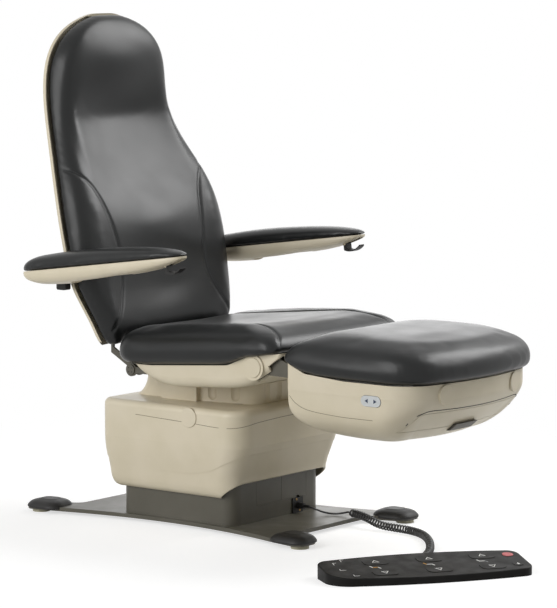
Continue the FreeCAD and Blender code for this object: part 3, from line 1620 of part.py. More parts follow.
def build():
    os.makedirs("parts", exist_ok=True)
    export("base_plate", base_plate())
    export("levelling_glides", *levelling_glides())
    export("base_caps", *base_caps())
    export("pedestal_shell", pedestal_shell())
    export("pedestal_access_panels", *pedestal_access_panels())
    export("pedestal_guide_pads", *guide_pads(pedestal_wall, pad_gap_outer, pedestal_top - guide_pad_height))
    export("lift_actuator_housing", lift_actuator_housing())
    export("control_box", control_box())
    export("pedal_socket", pedal_socket())
    export("middle_sleeve", column_tube(middle_shrink, sleeve_wall, middle_bottom, middle_top))
    export("middle_guide_pads", *guide_pads(middle_shrink + sleeve_wall, pad_gap_inner,
                                            middle_top - guide_pad_height - guide_pad_inset))
    export("lift_actuator_tube", lift_actuator_tube())
    export("inner_sleeve", column_tube(inner_shrink, sleeve_wall, inner_bottom, carriage_plate_z))
    export("lift_actuator_rod", lift_actuator_rod())
    export("carriage_plate", carriage_plate())
    export("shroud", shroud())
    export("shroud_caps", *shroud_caps())
    export("neck_cover", neck_cover())
    export("tilt_yoke", tilt_yoke())
    export("tilt_actuator", tilt_actuator())
    export("seat_frame", seat_frame())
    export("tilt_pin", tilt_pin())
    export("seat_pan", seat_pan())
    export("seat_pan_caps", *seat_pan_caps())
    export("seat_cushion", seat_cushion())
    export("back_actuator", ram(ram_back_x, recline_y, recline_z - back_crank))
    export("leg_actuator", ram(ram_leg_x, leg_hinge_y, leg_hinge_z - leg_crank))
    export("back_frame", back_frame())
    export("back_shell", back_shell())
    export("back_cushion", back_cushion())
    export("arm_pivots", *arm_pivots())
    for side, word in zip(sides, ("right", "left")):
        export("arm_body_" + word, arm_body(side))
        export("arm_cushion_" + word, arm_cushion(side))
        export("arm_lever_" + word, arm_lever(side))
        export("leg_switch_" + word, leg_switch(side))
    export("leg_bracket", leg_bracket())
    export("leg_runners", leg_runners())
    export("leg_shell", leg_shell())
    export("leg_cushion", leg_cushion())
    export("leg_caps", *leg_caps())
    export("debris_tray", debris_tray())
    export("tray_pull", tray_pull())
    export("foot_control_housing", foot_control_housing())
    for name, shape in foot_buttons().items():
        export("foot_button_" + name, shape)
    export("foot_control_gland", foot_control_gland())
    lead, curl = pedal_cord()
    export("pedal_cord_plug", pedal_cord_plug())
    export("pedal_cord_lead", lead)
    export("pedal_cord_curl", curl)


build()
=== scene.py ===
import json
import math

import bmesh
import bpy
from mathutils import Matrix, Vector, noise
from mathutils.bvhtree import BVHTree
from mathutils.kdtree import KDTree


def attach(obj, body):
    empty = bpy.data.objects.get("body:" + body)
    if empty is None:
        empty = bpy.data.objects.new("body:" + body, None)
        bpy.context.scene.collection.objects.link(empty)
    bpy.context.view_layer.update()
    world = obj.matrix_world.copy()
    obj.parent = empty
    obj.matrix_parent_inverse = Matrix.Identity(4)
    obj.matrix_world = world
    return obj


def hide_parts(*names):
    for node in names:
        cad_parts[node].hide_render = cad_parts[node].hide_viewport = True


# Podiatry chair: moulded covers, upholstered pads, powder coated column and a corded foot control.
# Metres, +Z up, the chair faces -Y, the patient's right is -X.

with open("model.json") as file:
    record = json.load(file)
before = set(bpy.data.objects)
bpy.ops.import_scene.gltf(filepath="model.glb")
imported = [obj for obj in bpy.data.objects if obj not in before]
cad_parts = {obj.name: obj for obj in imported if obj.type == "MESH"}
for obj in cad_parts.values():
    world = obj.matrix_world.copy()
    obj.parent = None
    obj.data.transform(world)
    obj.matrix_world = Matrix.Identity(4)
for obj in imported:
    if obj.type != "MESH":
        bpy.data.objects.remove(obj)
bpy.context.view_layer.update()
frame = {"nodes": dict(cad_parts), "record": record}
nodes = frame["nodes"]
print("frame loaded with", len(nodes), "pieces")

view = {
    "cameraPlace": (-6.33658, -5.07701, 1.48089),
    "turnDeg": 52.35,      # from +Y towards +X
    "downDeg": 6.49,
    "focalPixels": 3154.85,
    "longSidePixels": 608,
    "sensorWidth": 36.0,
    "clip": (0.5, 60.0),
}

light = {
    "worldTone": "#F6F6F4", "worldStrength": 0.21,
    "keyPlace": (-5.2, 0.9, 2.6), "keyAim": (0.0, -0.1, 0.6), "keySize": 3.9, "keyPower": 222.0,
    "topPlace": (2.9, -1.7, 3.3), "topAim": (0.0, 0.1, 0.9), "topSize": 2.5, "topPower": 135.0,
    "fillPlace": (0.6, -5.6, 1.9), "fillAim": (0.0, -0.3, 0.5), "fillSize": 2.2, "fillPower": 4.0,
    "rimPlace": (3.5, 2.1, 1.25), "rimAim": (0.0, -0.6, 0.5), "rimSize": 1.9, "rimPower": 16.0,
    "floorHalf": 14.0, "floorTone": "#FFFFFF", "bounceTone": "#D8D8D6",
    "paperTone": "#C4C4C4", "paperStart": 0.75, "paperEnd": 1.7, "paperGlow": 0.62,
}


# Camera, floor and light

def aimed(kind, data, place, aim):
    lamp = bpy.data.objects.new(kind, data)
    bpy.context.scene.collection.objects.link(lamp)
    lamp.location = place
    lamp.rotation_euler = (Vector(aim) - Vector(place)).to_track_quat("-Z", "Y").to_euler()
    return lamp


def makeCamera(spec):
    data = bpy.data.cameras.new("photoCamera")
    turn = math.radians(spec["turnDeg"])
    down = math.radians(spec["downDeg"])
    ahead = Vector((math.sin(turn) * math.cos(down), math.cos(turn) * math.cos(down), -math.sin(down)))
    place = Vector(spec["cameraPlace"])
    camera = aimed("photoCamera", data, place, place + ahead)
    data.sensor_width = spec["sensorWidth"]
    data.lens = spec["focalPixels"] / spec["longSidePixels"] * spec["sensorWidth"]
    data.clip_start, data.clip_end = spec["clip"]
    bpy.context.scene.camera = camera


def makeLights(spec):
    for name in ("key", "top", "fill", "rim"):
        data = bpy.data.lights.new(name + "Softbox", "AREA")
        data.shape = "SQUARE"
        data.size = spec[name + "Size"]
        data.energy = spec[name + "Power"]
        aimed(name + "Softbox", data, spec[name + "Place"], spec[name + "Aim"])


def linear(hexCode):
    # sRGB hex to the linear values that shaders take
    parts = [int(hexCode[i:i + 2], 16) / 255 for i in (1, 3, 5)]
    return tuple(c / 12.92 if c <= 0.04045 else ((c + 0.055) / 1.055) ** 2.4 for c in parts) + (1.0,)


def addNode(tree, kind, settings=None, links=None):
    # a node with its settings and its links, either by socket name or by socket number
    node = tree.nodes.new(kind)
    for key, value in (settings or {}).items():
        if isinstance(key, int) or key in node.inputs:
            node.inputs[key].default_value = value
        else:
            setattr(node, key, value)
    for key, source in (links or {}).items():
        tree.links.new(source, node.inputs[key])
    return node


def newMaterial(name, base, roughness, **settings):
    material = bpy.data.materials.new(name)
    material.use_nodes = True
    tree = material.node_tree
    tree.nodes.clear()
    shader = addNode(tree, "ShaderNodeBsdfPrincipled",
                     {"Base Color": linear(base), "Roughness": roughness, **settings})
    addNode(tree, "ShaderNodeOutputMaterial", {}, {"Surface": shader.outputs[0]})
    return material, tree, shader


def mottle(tree, shader, dark, bright, scale, detail=3.0):
    # slow variation of tone across a moulding or a hide
    place = addNode(tree, "ShaderNodeTexCoord").outputs["Object"]
    cloud = addNode(tree, "ShaderNodeTexNoise", {"Scale": scale, "Detail": detail}, {"Vector": place})
    ramp = addNode(tree, "ShaderNodeValToRGB", {}, {"Fac": cloud.outputs["Fac"]})
    ramp.color_ramp.elements[0].position = 0.35
    ramp.color_ramp.elements[0].color = linear(dark)
    ramp.color_ramp.elements[1].position = 0.65
    ramp.color_ramp.elements[1].color = linear(bright)
    tree.links.new(ramp.outputs["Color"], shader.inputs["Base Color"])
    return place


def grain(tree, shader, place, sizeMm, depthMm, kind="ShaderNodeTexNoise", detail=2.0, soften=None):
    # surface relief whose cells are sizeMm across
    settings = {"Scale": 1000.0 / sizeMm}
    if kind == "ShaderNodeTexNoise":
        settings["Detail"] = detail
    cells = addNode(tree, kind, settings, {"Vector": place})
    bump = addNode(tree, "ShaderNodeBump", {"Distance": depthMm / 1000.0, "Strength": 1.0},
                   {"Height": cells.outputs[0]})
    if soften:
        tree.links.new(soften, bump.inputs["Normal"])
    tree.links.new(bump.outputs["Normal"], shader.inputs["Normal"])
    return bump.outputs["Normal"]


def unevenGloss(tree, shader, place, low, high, scale):
    patch = addNode(tree, "ShaderNodeTexNoise", {"Scale": scale, "Detail": 4.0}, {"Vector": place})
    span = addNode(tree, "ShaderNodeMapRange",
                   {"From Min": 0.3, "From Max": 0.7, "To Min": low, "To Max": high},
                   {"Value": patch.outputs["Fac"]})
    tree.links.new(span.outputs[0], shader.inputs["Roughness"])


def litAndSeen(tree, lit, seen):
    # one surface for the light that it gives, another for the camera and for what gloss mirrors
    path = addNode(tree, "ShaderNodeLightPath")
    looked = addNode(tree, "ShaderNodeMath", {"operation": "MAXIMUM"},
                     {0: path.outputs["Is Camera Ray"], 1: path.outputs["Is Glossy Ray"]})
    return addNode(tree, "ShaderNodeMixShader", {},
                   {0: looked.outputs[0], 1: lit.outputs[0], 2: seen.outputs[0]})


def makeFloor(spec):
    mesh = bpy.data.meshes.new("studioFloor")
    floor = bpy.data.objects.new("studioFloor", mesh)
    bpy.context.scene.collection.objects.link(floor)
    form = bmesh.new()
    bmesh.ops.create_grid(form, x_segments=1, y_segments=1, size=spec["floorHalf"])
    form.to_mesh(mesh)
    form.free()
    material = bpy.data.materials.new("studioPaper")
    material.use_nodes = True
    tree = material.node_tree
    tree.nodes.clear()
    # near the chair the paper takes its shadow, further off it is as white as the sweep behind it
    place = addNode(tree, "ShaderNodeTexCoord").outputs["Object"]
    reach = addNode(tree, "ShaderNodeVectorMath", {"operation": "LENGTH"}, {0: place})
    away = addNode(tree, "ShaderNodeMapRange",
                   {"interpolation_type": "SMOOTHSTEP",
                    "From Min": spec["paperStart"], "From Max": spec["paperEnd"]},
                   {"Value": reach.outputs["Value"]})
    white = linear(spec["floorTone"])
    paper = addNode(tree, "ShaderNodeBsdfDiffuse", {"Color": linear(spec["paperTone"])})
    glow = addNode(tree, "ShaderNodeEmission", {"Color": white, "Strength": spec["paperGlow"]})
    near = addNode(tree, "ShaderNodeAddShader", {}, {0: paper.outputs[0], 1: glow.outputs[0]})
    sweep = addNode(tree, "ShaderNodeEmission", {"Color": white, "Strength": 1.0})
    both = addNode(tree, "ShaderNodeMixShader", {},
                   {0: away.outputs[0], 1: near.outputs[0], 2: sweep.outputs[0]})
    bounce = addNode(tree, "ShaderNodeBsdfDiffuse", {"Color": linear(spec["bounceTone"])})
    mix = litAndSeen(tree, bounce, both)
    addNode(tree, "ShaderNodeOutputMaterial", {}, {"Surface": mix.outputs[0]})
    mesh.materials.append(material)


def makeWorld(spec):
    world = bpy.data.worlds.new("studio")
    bpy.context.scene.world = world
    world.use_nodes = True
    tree = world.node_tree
    tree.nodes.clear()
    room = addNode(tree, "ShaderNodeBackground",
                   {"Color": linear(spec["worldTone"]), "Strength": spec["worldStrength"]})
    white = addNode(tree, "ShaderNodeBackground", {"Color": linear(spec["floorTone"]), "Strength": 1.0})
    mix = litAndSeen(tree, room, white)
    addNode(tree, "ShaderNodeOutputWorld", {}, {"Surface": mix.outputs[0]})


bpy.context.scene.view_settings.view_transform = "Standard"
makeCamera(view)
makeLights(light)
makeFloor(light)
makeWorld(light)
print("camera and studio set")


# Finishes

def mouldedAbs():
    # injection moulded ABS, spark eroded tool: an even satin that only glints along its edges
    material, tree, shader = newMaterial("mouldedAbsBeige", "#D1C7B0", 0.42, **{"Specular IOR Level": 0.45})
    place = mottle(tree, shader, "#CEC4AC", "#D4CAB4", 9.0)
    unevenGloss(tree, shader, place, 0.38, 0.46, 14.0)
    grain(tree, shader, place, 1.6, 0.012)
    return material


def vinylHide():
    # foam backed polyurethane cloth with an embossed hide grain; grain drawn at 2.4 mm so that it shows
    material, tree, shader = newMaterial("upholsteryVinyl", "#191A1A", 0.34, **{"Specular IOR Level": 0.3})
    place = mottle(tree, shader, "#171818", "#1B1C1C", 7.0)
    unevenGloss(tree, shader, place, 0.31, 0.37, 11.0)
    slow = grain(tree, shader, place, 60.0, 0.25, detail=1.0)
    grain(tree, shader, place, 2.4, 0.04, kind="ShaderNodeTexVoronoi", soften=slow)
    return material


def powderCoat():
    # thermoset powder over steel: fine orange peel, low sheen
    material, tree, shader = newMaterial("powderCoatOlive", "#524F45", 0.4, **{"Specular IOR Level": 0.4})
    place = mottle(tree, shader, "#4F4C42", "#555248", 12.0)
    unevenGloss(tree, shader, place, 0.36, 0.45, 20.0)
    grain(tree, shader, place, 1.8, 0.03)
    return material


def mouldedNylon():
    # glass filled nylon, dull black with a dry skin
    material, tree, shader = newMaterial("mouldedNylonBlack", "#1D1C1B", 0.5, **{"Specular IOR Level": 0.3})
    place = mottle(tree, shader, "#1B1A19", "#201F1E", 20.0)
    grain(tree, shader, place, 1.4, 0.02)
    return material


def controlRubber():
    # thermoplastic elastomer over a steel tray: soft black that takes a dull sheen
    material, tree, shader = newMaterial("controlElastomer", "#100F0E", 0.6, **{"Specular IOR Level": 0.12})
    place = mottle(tree, shader, "#0F0E0D", "#131211", 25.0)
    unevenGloss(tree, shader, place, 0.45, 0.58, 30.0)
    grain(tree, shader, place, 1.5, 0.03)
    return material


def cordJacket():
    # extruded PVC jacket, a little shiny where it has been wound
    material, tree, shader = newMaterial("cordJacketPvc", "#1C1B1A", 0.38)
    place = mottle(tree, shader, "#191817", "#201F1E", 60.0)
    grain(tree, shader, place, 1.2, 0.01)
    return material


def zincSteel():
    # bright zinc plate on turned and folded steel
    material, tree, shader = newMaterial("zincPlatedSteel", "#B4B4B0", 0.34, Metallic=1.0)
    place = mottle(tree, shader, "#A9A9A5", "#BDBDB8", 30.0)
    unevenGloss(tree, shader, place, 0.28, 0.42, 40.0)
    return material


def slideAcetal():
    # machined acetal, milky and slick
    material, tree, shader = newMaterial("slideAcetal", "#E4E2DA", 0.35)
    mottle(tree, shader, "#DEDCD3", "#EAE8E1", 15.0)
    return material


def footRubber():
    # pale thermoplastic foot, scuffed where it meets the floor
    material, tree, shader = newMaterial("levellingFoot", "#B9B49C", 0.55)
    place = mottle(tree, shader, "#A9A48D", "#C4BFA8", 40.0)
    grain(tree, shader, place, 1.5, 0.02)
    return material


def stopKey():
    # red moulded key with a rubbed face
    material, tree, shader = newMaterial("stopKeyRed", "#B9474A", 0.45)
    place = mottle(tree, shader, "#A83A3E", "#C95458", 90.0)
    grain(tree, shader, place, 1.2, 0.02)
    return material


def rockerCap():
    # light grey rocker, gloss moulded
    material, tree, shader = newMaterial("rockerCapGrey", "#C3C6C7", 0.35)
    place = mottle(tree, shader, "#BEC1C2", "#C9CCCD", 50.0)
    grain(tree, shader, place, 1.5, 0.01)
    return material


def pullMoulding():
    # brown grey moulding, matt
    material, tree, shader = newMaterial("pullMoulding", "#4C4840", 0.55)
    place = mottle(tree, shader, "#47433B", "#524E46", 30.0)
    grain(tree, shader, place, 1.5, 0.03)
    return material


def printInk(name, hexCode):
    # pad printed ink, a thin flat film
    return newMaterial(name, hexCode, 0.6)[0]


finishes = {
    "beige_moulding": mouldedAbs(),
    "black_upholstery": vinylHide(),
    "black_moulding": mouldedNylon(),
    "olive_paint": powderCoat(),
    "bare_steel": zincSteel(),
    "slide_plastic": slideAcetal(),
    "pad_rubber": footRubber(),
    "cord_sheath": cordJacket(),
    "red_key": stopKey(),
    "grey_switch": rockerCap(),
    "brown_pull": pullMoulding(),
}
controlFinish = controlRubber()
whiteInk = printInk("printWhite", "#E9E9E6")
navyInk = printInk("printNavy", "#1C2A44")
amberInk = printInk("printAmber", "#C9922B")
greyInk = printInk("printGrey", "#7D8084")
brass = newMaterial("turnedBrass", "#B08D57", 0.35, Metallic=1.0)[0]
thread = newMaterial("bondedThread", "#2A2B2B", 0.6)[0]
# darker beige: the shroud's parting line, and painted shade along the leg housing's crease
jointAndCreaseShade = newMaterial("jointAndCreaseShade", "#7F7663", 0.6)[0]
# near black: painted shade in the gap at the tray's front
gapShade = newMaterial("gapShade", "#2B2924", 0.7)[0]
holeShade = newMaterial("holeShade", "#121110", 0.7)[0]


def dress(piece, material):
    piece.data.materials.clear()
    piece.data.materials.append(material)


for entry in frame["record"]["subparts"]:
    piece = nodes[entry["node"]]
    dress(piece, finishes[entry["material_slot"]])
    if entry["node"].startswith("foot_") and entry["node"] != "foot_button_stop":
        dress(piece, controlFinish)
print("finishes laid on the frame")


# Lines cut into equal steps, which the seams, the cords, the parting line and the painted shade lines share

def evenPlaces(places, start, end, count):
    # the same line, cut into equal steps between two distances
    lengths = [0.0]
    for a, b in zip(places, places[1:]):
        lengths.append(lengths[-1] + (b - a).length)
    found = []
    index = 0
    for step in range(count + 1):
        distance = start + (lengths[-1] - end - start) * step / count
        while lengths[index + 1] < distance and index < len(places) - 2:
            index += 1
        share = (distance - lengths[index]) / (lengths[index + 1] - lengths[index])
        found.append(places[index].lerp(places[index + 1], share))
    return found


def lineLength(places):
    return sum((b - a).length for a, b in zip(places, places[1:]))


# Upholstery

backSeam = [(0.268, 0.912), (0.222, 0.870), (0.201, 0.832), (0.188, 0.790), (0.179, 0.745),
            (0.172, 0.700), (0.171, 0.645), (0.182, 0.600), (0.205, 0.552), (0.238, 0.500)]
seatSeam = [(0.150, 0.100), (0.156, 0.020), (0.168, -0.110), (0.181, -0.220), (0.195, -0.300),
            (0.222, -0.356), (0.250, -0.386)]
cushions = {
    "backPad": {"node": "back_cushion", "body": "backrest", "voxel": 0.0075, "smooth": 5, "fill": 0.75,
                "facing": (0.0, -1.0, 0.0), "along": 2, "inset": 0.002, "puff": 0.0034,
                "swells": [((0.0, 1.165), (0.14, 0.070), 0.015), ((0.0, 1.045), (0.20, 0.050), -0.011),
                           ((0.0, 0.765), (0.13, 0.075), 0.016), ((0.0, 0.60), (0.12, 0.06), -0.007),
                           ((0.235, 0.72), (0.030, 0.16), 0.006), ((-0.235, 0.72), (0.030, 0.16), 0.006)],
                "creases": [((0.225, 0.74), (0.045, 0.17), (90.0, 7.0), 0.0016)],
                "seam": backSeam},
    "seatPad": {"node": "seat_cushion", "body": "seat", "voxel": 0.007, "smooth": 5, "fill": 0.8,
                "facing": (0.0, 0.0, 1.0), "along": 1, "inset": 0.002, "puff": 0.0034,
                "swells": [((0.22, -0.12), (0.045, 0.20), 0.008), ((-0.22, -0.12), (0.045, 0.20), 0.008),
                           ((0.0, -0.10), (0.11, 0.18), -0.005)],
                "creases": [((0.262, -0.30), (0.035, 0.05), (24.0, 110.0), 0.0014)],
                "seam": seatSeam},
    "legPad": {"node": "leg_cushion", "body": "leg_section", "voxel": 0.007, "smooth": 6, "fill": 0.85,
               "facing": (0.0, 0.0, 1.0), "along": 1, "inset": 0.002, "puff": 0.0034, "level": 60},
    "armPadRight": {"node": "arm_cushion_right", "body": "arm_right", "voxel": 0.005, "smooth": 4,
                    "fill": 0.85, "facing": (0.0, 0.0, 1.0), "along": 1, "inset": 0.0015, "puff": 0.0022},
    "armPadLeft": {"node": "arm_cushion_left", "body": "arm_left", "voxel": 0.005, "smooth": 4,
                   "fill": 0.85, "facing": (0.0, 0.0, 1.0), "along": 1, "inset": 0.0015, "puff": 0.0022},
}
seamWork = {"depth": 0.0034, "spread": 0.0055, "step": 0.0026, "stitchPitch": 0.0052, "stitchLength": 0.0036,
            "threadRadius": 0.0005, "stitchOffset": 0.0048, "castHeight": 0.45}
clothFrames = 20
clothCalm = 8


def linkNew(name, mesh, body, material):
    piece = bpy.data.objects.new(name, mesh)
    bpy.context.scene.collection.objects.link(piece)
    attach(piece, body)
    dress(piece, material)
    return piece


def evaluated(piece):
    # the mesh with its modifiers in it
    bpy.context.view_layer.update()
    graph = bpy.context.evaluated_depsgraph_get()
    return bpy.data.meshes.new_from_object(piece.evaluated_get(graph))


def withModifier(mesh, kind, **settings):
    # a copy of the mesh as one modifier leaves it
    helper = bpy.data.objects.new("helper", mesh)
    bpy.context.scene.collection.objects.link(helper)
    step = helper.modifiers.new("step", kind)
    for key, value in settings.items():
        setattr(step, key, value)
    result = evaluated(helper)
    bpy.data.objects.remove(helper)
    return result


def remeshed(source, voxel):
    # a watertight copy of the foam's own form, in even faces
    form = bmesh.new()
    form.from_mesh(source.data)
    bmesh.ops.remove_doubles(form, verts=form.verts, dist=0.00002)
    mesh = bpy.data.meshes.new(source.name + "Foam")
    form.to_mesh(mesh)
    form.free()
    return withModifier(mesh, "REMESH", mode="VOXEL", voxel_size=voxel, adaptivity=0.0)


def smoothed(form, verts, rounds):
    for _ in range(rounds):
        bmesh.ops.smooth_vert(form, verts=verts, factor=0.5,
                              use_axis_x=True, use_axis_y=True, use_axis_z=True)


def shapeCushion(form, spec):
    # swells, hollows and creases of the foam, pushed along the way the pad faces
    facing = Vector(spec["facing"])
    along = spec["along"]
    form.normal_update()
    if "level" in spec:
        # the crown of the leg pad is one plain sweep
        for least in (0.9, 0.7, 0.5, 0.3, 0.1):
            crown = [vert for vert in form.verts if vert.normal.dot(facing) > least]
            smoothed(form, crown, spec["level"] // 5)
            form.normal_update()
    for vert in form.verts:
        turn = vert.normal.dot(facing)
        if turn < 0.2:
            continue
        rise = 0.0
        for place, spread, height in spec.get("swells", []):
            across = (vert.co.x - place[0]) / spread[0]
            ahead = (vert.co[along] - place[1]) / spread[1]
            rise += height * math.exp(-(across * across + ahead * ahead))
        for place, spread, pitch, height in spec.get("creases", []):
            across = (abs(vert.co.x) - place[0]) / spread[0]
            ahead = (vert.co[along] - place[1]) / spread[1]
            fold = noise.noise(Vector((vert.co.x * pitch[0], vert.co[along] * pitch[1], 0.0)))
            rise += height * fold * math.exp(-(across * across + ahead * ahead))
        vert.co += facing * rise * min(1.0, (turn - 0.2) / 0.4)


def inflated(mesh, spec):
    # the cover blown up by air over foam cut a little small, pinned where a board backs it
    facing = Vector(spec["facing"])
    normals = [vert.normal.copy() for vert in mesh.vertices]
    free = [max(0.0, min(1.0, (normal.dot(facing) + 0.35) / 0.3)) for normal in normals]
    for vert, normal, loose in zip(mesh.vertices, normals, free):
        vert.co -= normal * spec["inset"] * loose
    cover = bpy.data.objects.new("cover", mesh)
    bpy.context.scene.collection.objects.link(cover)
    backed = cover.vertex_groups.new(name="backed")
    backed.add([index for index, loose in enumerate(free) if loose == 0.0], 1.0, "REPLACE")
    blown = cover.modifiers.new("blown", "CLOTH")
    blown.settings.quality = 2
    blown.settings.mass = 0.3
    blown.settings.use_pressure = True
    blown.settings.uniform_pressure_force = 2.0
    blown.settings.tension_stiffness = 25.0
    blown.settings.compression_stiffness = 25.0
    blown.settings.bending_stiffness = 1.0
    blown.settings.vertex_group_mass = "backed"
    blown.settings.effector_weights.gravity = 0.0
    blown.point_cache.frame_start = 1
    blown.point_cache.frame_end = clothFrames
    for frameNumber in range(1, clothFrames + 1):
        bpy.context.scene.frame_set(frameNumber)
    result = evaluated(cover)
    bpy.context.scene.frame_set(1)
    small = [vert.co.copy() for vert in mesh.vertices]
    bpy.data.objects.remove(cover)
    for vert, begun in zip(result.vertices, small):
        move = vert.co - begun
        if move.length > spec["puff"]:
            vert.co = begun + move.normalized() * spec["puff"]
    return result


def meshTree(mesh):
    form = bmesh.new()
    form.from_mesh(mesh)
    tree = BVHTree.FromBMesh(form)
    form.free()
    return tree


def finePlaces(points, step):
    # a smooth line through the points, cut into even steps
    knots = [2 * points[0] - points[1]] + points + [2 * points[-1] - points[-2]]
    fine = []
    for a, b, c, d in zip(knots, knots[1:], knots[2:], knots[3:]):
        for share in (i / 16 for i in range(16)):
            fine.append(0.5 * ((2 * b) + (c - a) * share + (2 * a - 5 * b + 4 * c - d) * share ** 2
                               + (3 * b - a - 3 * c + d) * share ** 3))
    fine.append(points[-1])
    return evenPlaces(fine, 0.0, 0.0, max(2, round(lineLength(fine) / step)))


def dropped(tree, places, facing):
    # places carried onto a surface from the way that it faces
    found = []
    for place in places:
        hit = tree.ray_cast(place + facing * 1.0, -facing, 2.0)
        if hit[0]:
            found.append((hit[0], hit[1]))
    return found


def seamPlaces(spec, side, offset=0.0):
    facing = Vector(spec["facing"])
    points = []
    for across, ahead in spec["seam"]:
        point = Vector((side * (across + offset), 0.0, 0.0))
        point[spec["along"]] = ahead
        if spec["along"] == 1:
            point.z = seamWork["castHeight"]
        points.append(point)
    return finePlaces(points, seamWork["step"])


def sewnIn(mesh, spec):
    # the cover is pulled down to the foam along each seam
    facing = Vector(spec["facing"])
    tree = meshTree(mesh)
    line = [hit[0] for side in (-1, 1) for hit in dropped(tree, seamPlaces(spec, side), facing)]
    near = KDTree(len(line))
    for index, place in enumerate(line):
        near.insert(place, index)
    near.balance()
    for vert in mesh.vertices:
        distance = near.find(vert.co)[2]
        if distance < seamWork["spread"] * 3:
            vert.co -= facing * seamWork["depth"] * math.exp(-(distance / seamWork["spread"]) ** 2)


def addRod(form, start, end, radius, segments=6):
    heading = end - start
    turn = heading.to_track_quat("Z", "Y").to_matrix().to_4x4()
    bmesh.ops.create_cone(form, cap_ends=True, segments=segments, radius1=radius, radius2=radius,
                          depth=heading.length, matrix=Matrix.Translation((start + end) / 2) @ turn)


def makeStitches(name, pad, spec):
    # two rows of thread that run beside the seam
    facing = Vector(spec["facing"])
    tree = meshTree(pad.data)
    form = bmesh.new()
    for side in (-1, 1):
        for offset in (-seamWork["stitchOffset"], seamWork["stitchOffset"]):
            row = [hit[0] for hit in dropped(tree, seamPlaces(spec, side, offset), facing)]
            count = int(lineLength(row) / seamWork["stitchPitch"])
            for place, after in zip(*[iter(evenPlaces(row, 0.0, 0.0, count * 2))] * 2):
                middle = (place + after) / 2
                half = (after - place).normalized() * seamWork["stitchLength"] / 2
                addRod(form, middle - half, middle + half, seamWork["threadRadius"])
    mesh = bpy.data.meshes.new(name)
    form.to_mesh(mesh)
    form.free()
    return linkNew(name, mesh, spec["body"], thread)


def makeCushion(name, spec):
    source = nodes[spec["node"]]
    mesh = remeshed(source, spec["voxel"])
    form = bmesh.new()
    form.from_mesh(mesh)
    smoothed(form, form.verts, spec["smooth"])
    shapeCushion(form, spec)
    form.to_mesh(mesh)
    form.clear()
    mesh.update()
    mesh = inflated(mesh, spec)
    # the backed cloth is stiff: it holds only the long folds
    form.from_mesh(mesh)
    smoothed(form, form.verts, clothCalm)
    form.to_mesh(mesh)
    form.free()
    mesh = withModifier(mesh, "SUBSURF", levels=1, render_levels=1)
    if "seam" in spec:
        sewnIn(mesh, spec)
    for face in mesh.polygons:
        face.use_smooth = True
    pad = linkNew(name, mesh, spec["body"], finishes["black_upholstery"])
    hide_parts(spec["node"])
    if "seam" in spec:
        makeStitches(name + "Stitching", pad, spec)
    return pad


pads = {name: makeCushion(name, spec) for name, spec in cushions.items()}
print("pads upholstered")


# Foot control cord: the route's points are those of the solids

cordSpec = {
    "lead": [(0.083, -0.224, 0.038), (0.084, -0.243, 0.034), (0.093, -0.264, 0.026),
             (0.106, -0.284, 0.0224), (0.1145, -0.304, 0.0245), (0.115, -0.325, 0.0303)],
    "curl": [(0.115, -0.3264, 0.0307), (0.107, -0.356, 0.031), (0.096, -0.400, 0.027),
             (0.088, -0.444, 0.014), (0.092, -0.490, 0.0115), (0.090, -0.540, 0.0112),
             (0.066, -0.594, 0.0112), (0.018, -0.646, 0.0112), (-0.042, -0.694, 0.0112),
             (-0.102, -0.734, 0.0112), (-0.160, -0.764, 0.0120), (-0.202, -0.786, 0.0160),
             (-0.22174, -0.81027, 0.0190)],
    "leadWire": 0.0025, "curlWire": 0.0023, "curlRadius": 0.0087, "turns": 72, "stepsPerTurn": 14,
    "straight": 0.007, "slack": 0.985,
}


def routeCurve(name, points, wire=0.0, stepsBetween=12):
    # the wire's thickness is held by the points, whose radius also counts in the curve's bounds
    data = bpy.data.curves.new(name, "CURVE")
    data.dimensions = "3D"
    data.resolution_u = stepsBetween
    data.bevel_depth = 1.0 if wire else 0.0
    data.bevel_resolution = 3
    data.use_fill_caps = True
    spline = data.splines.new("NURBS")
    spline.points.add(len(points) - 1)
    for point, place in zip(spline.points, points):
        point.co = (*place, 1.0)
        point.radius = wire
    spline.order_u = 3
    spline.use_endpoint_u = True
    return data


def sampledRoute(points):
    # places along the route's own smooth line
    data = routeCurve("routeLine", points, stepsBetween=24)
    line = bpy.data.objects.new("routeLine", data)
    bpy.context.scene.collection.objects.link(line)
    mesh = evaluated(line)
    places = [vert.co.copy() for vert in mesh.vertices]
    bpy.data.objects.remove(line)
    return places


def helixPlaces(spec):
    route = sampledRoute(spec["curl"])
    count = spec["turns"] * spec["stepsPerTurn"]
    line = evenPlaces(route, spec["straight"], spec["straight"], count)
    sideways = Vector((1.0, 0.0, 0.0))
    places = [route[0]]
    for step, place in enumerate(line):
        heading = (line[min(step + 1, count)] - line[max(step - 1, 0)]).normalized()
        sideways = (sideways - heading * sideways.dot(heading)).normalized()
        grown = min(step, count - step, spec["stepsPerTurn"]) / spec["stepsPerTurn"]
        radius = spec["curlRadius"] * grown * grown * (3 - 2 * grown)
        angle = 2 * math.pi * step / spec["stepsPerTurn"]
        outward = sideways * math.cos(angle) + heading.cross(sideways) * math.sin(angle)
        places.append(place + outward * radius)
    places.append(route[-1])
    return places


def makeCords(spec):
    leadLine = sampledRoute(spec["lead"])
    lead = bpy.data.objects.new("cordLead", routeCurve("cordLead", spec["lead"], spec["leadWire"]))
    helix = helixPlaces(spec)
    curl = bpy.data.objects.new("cordCurl", routeCurve("cordCurl", helix, spec["curlWire"], 2))
    curl.data.bevel_resolution = 2
    for piece, node in ((lead, "pedal_cord_lead"), (curl, "pedal_cord_curl")):
        bpy.context.scene.collection.objects.link(piece)
        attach(piece, "base")
        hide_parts(node)
        dress(piece, finishes["cord_sheath"])
    lineLength(leadLine)
    lineLength(helix) * spec["slack"]


makeCords(cordSpec)
print("cords laid")
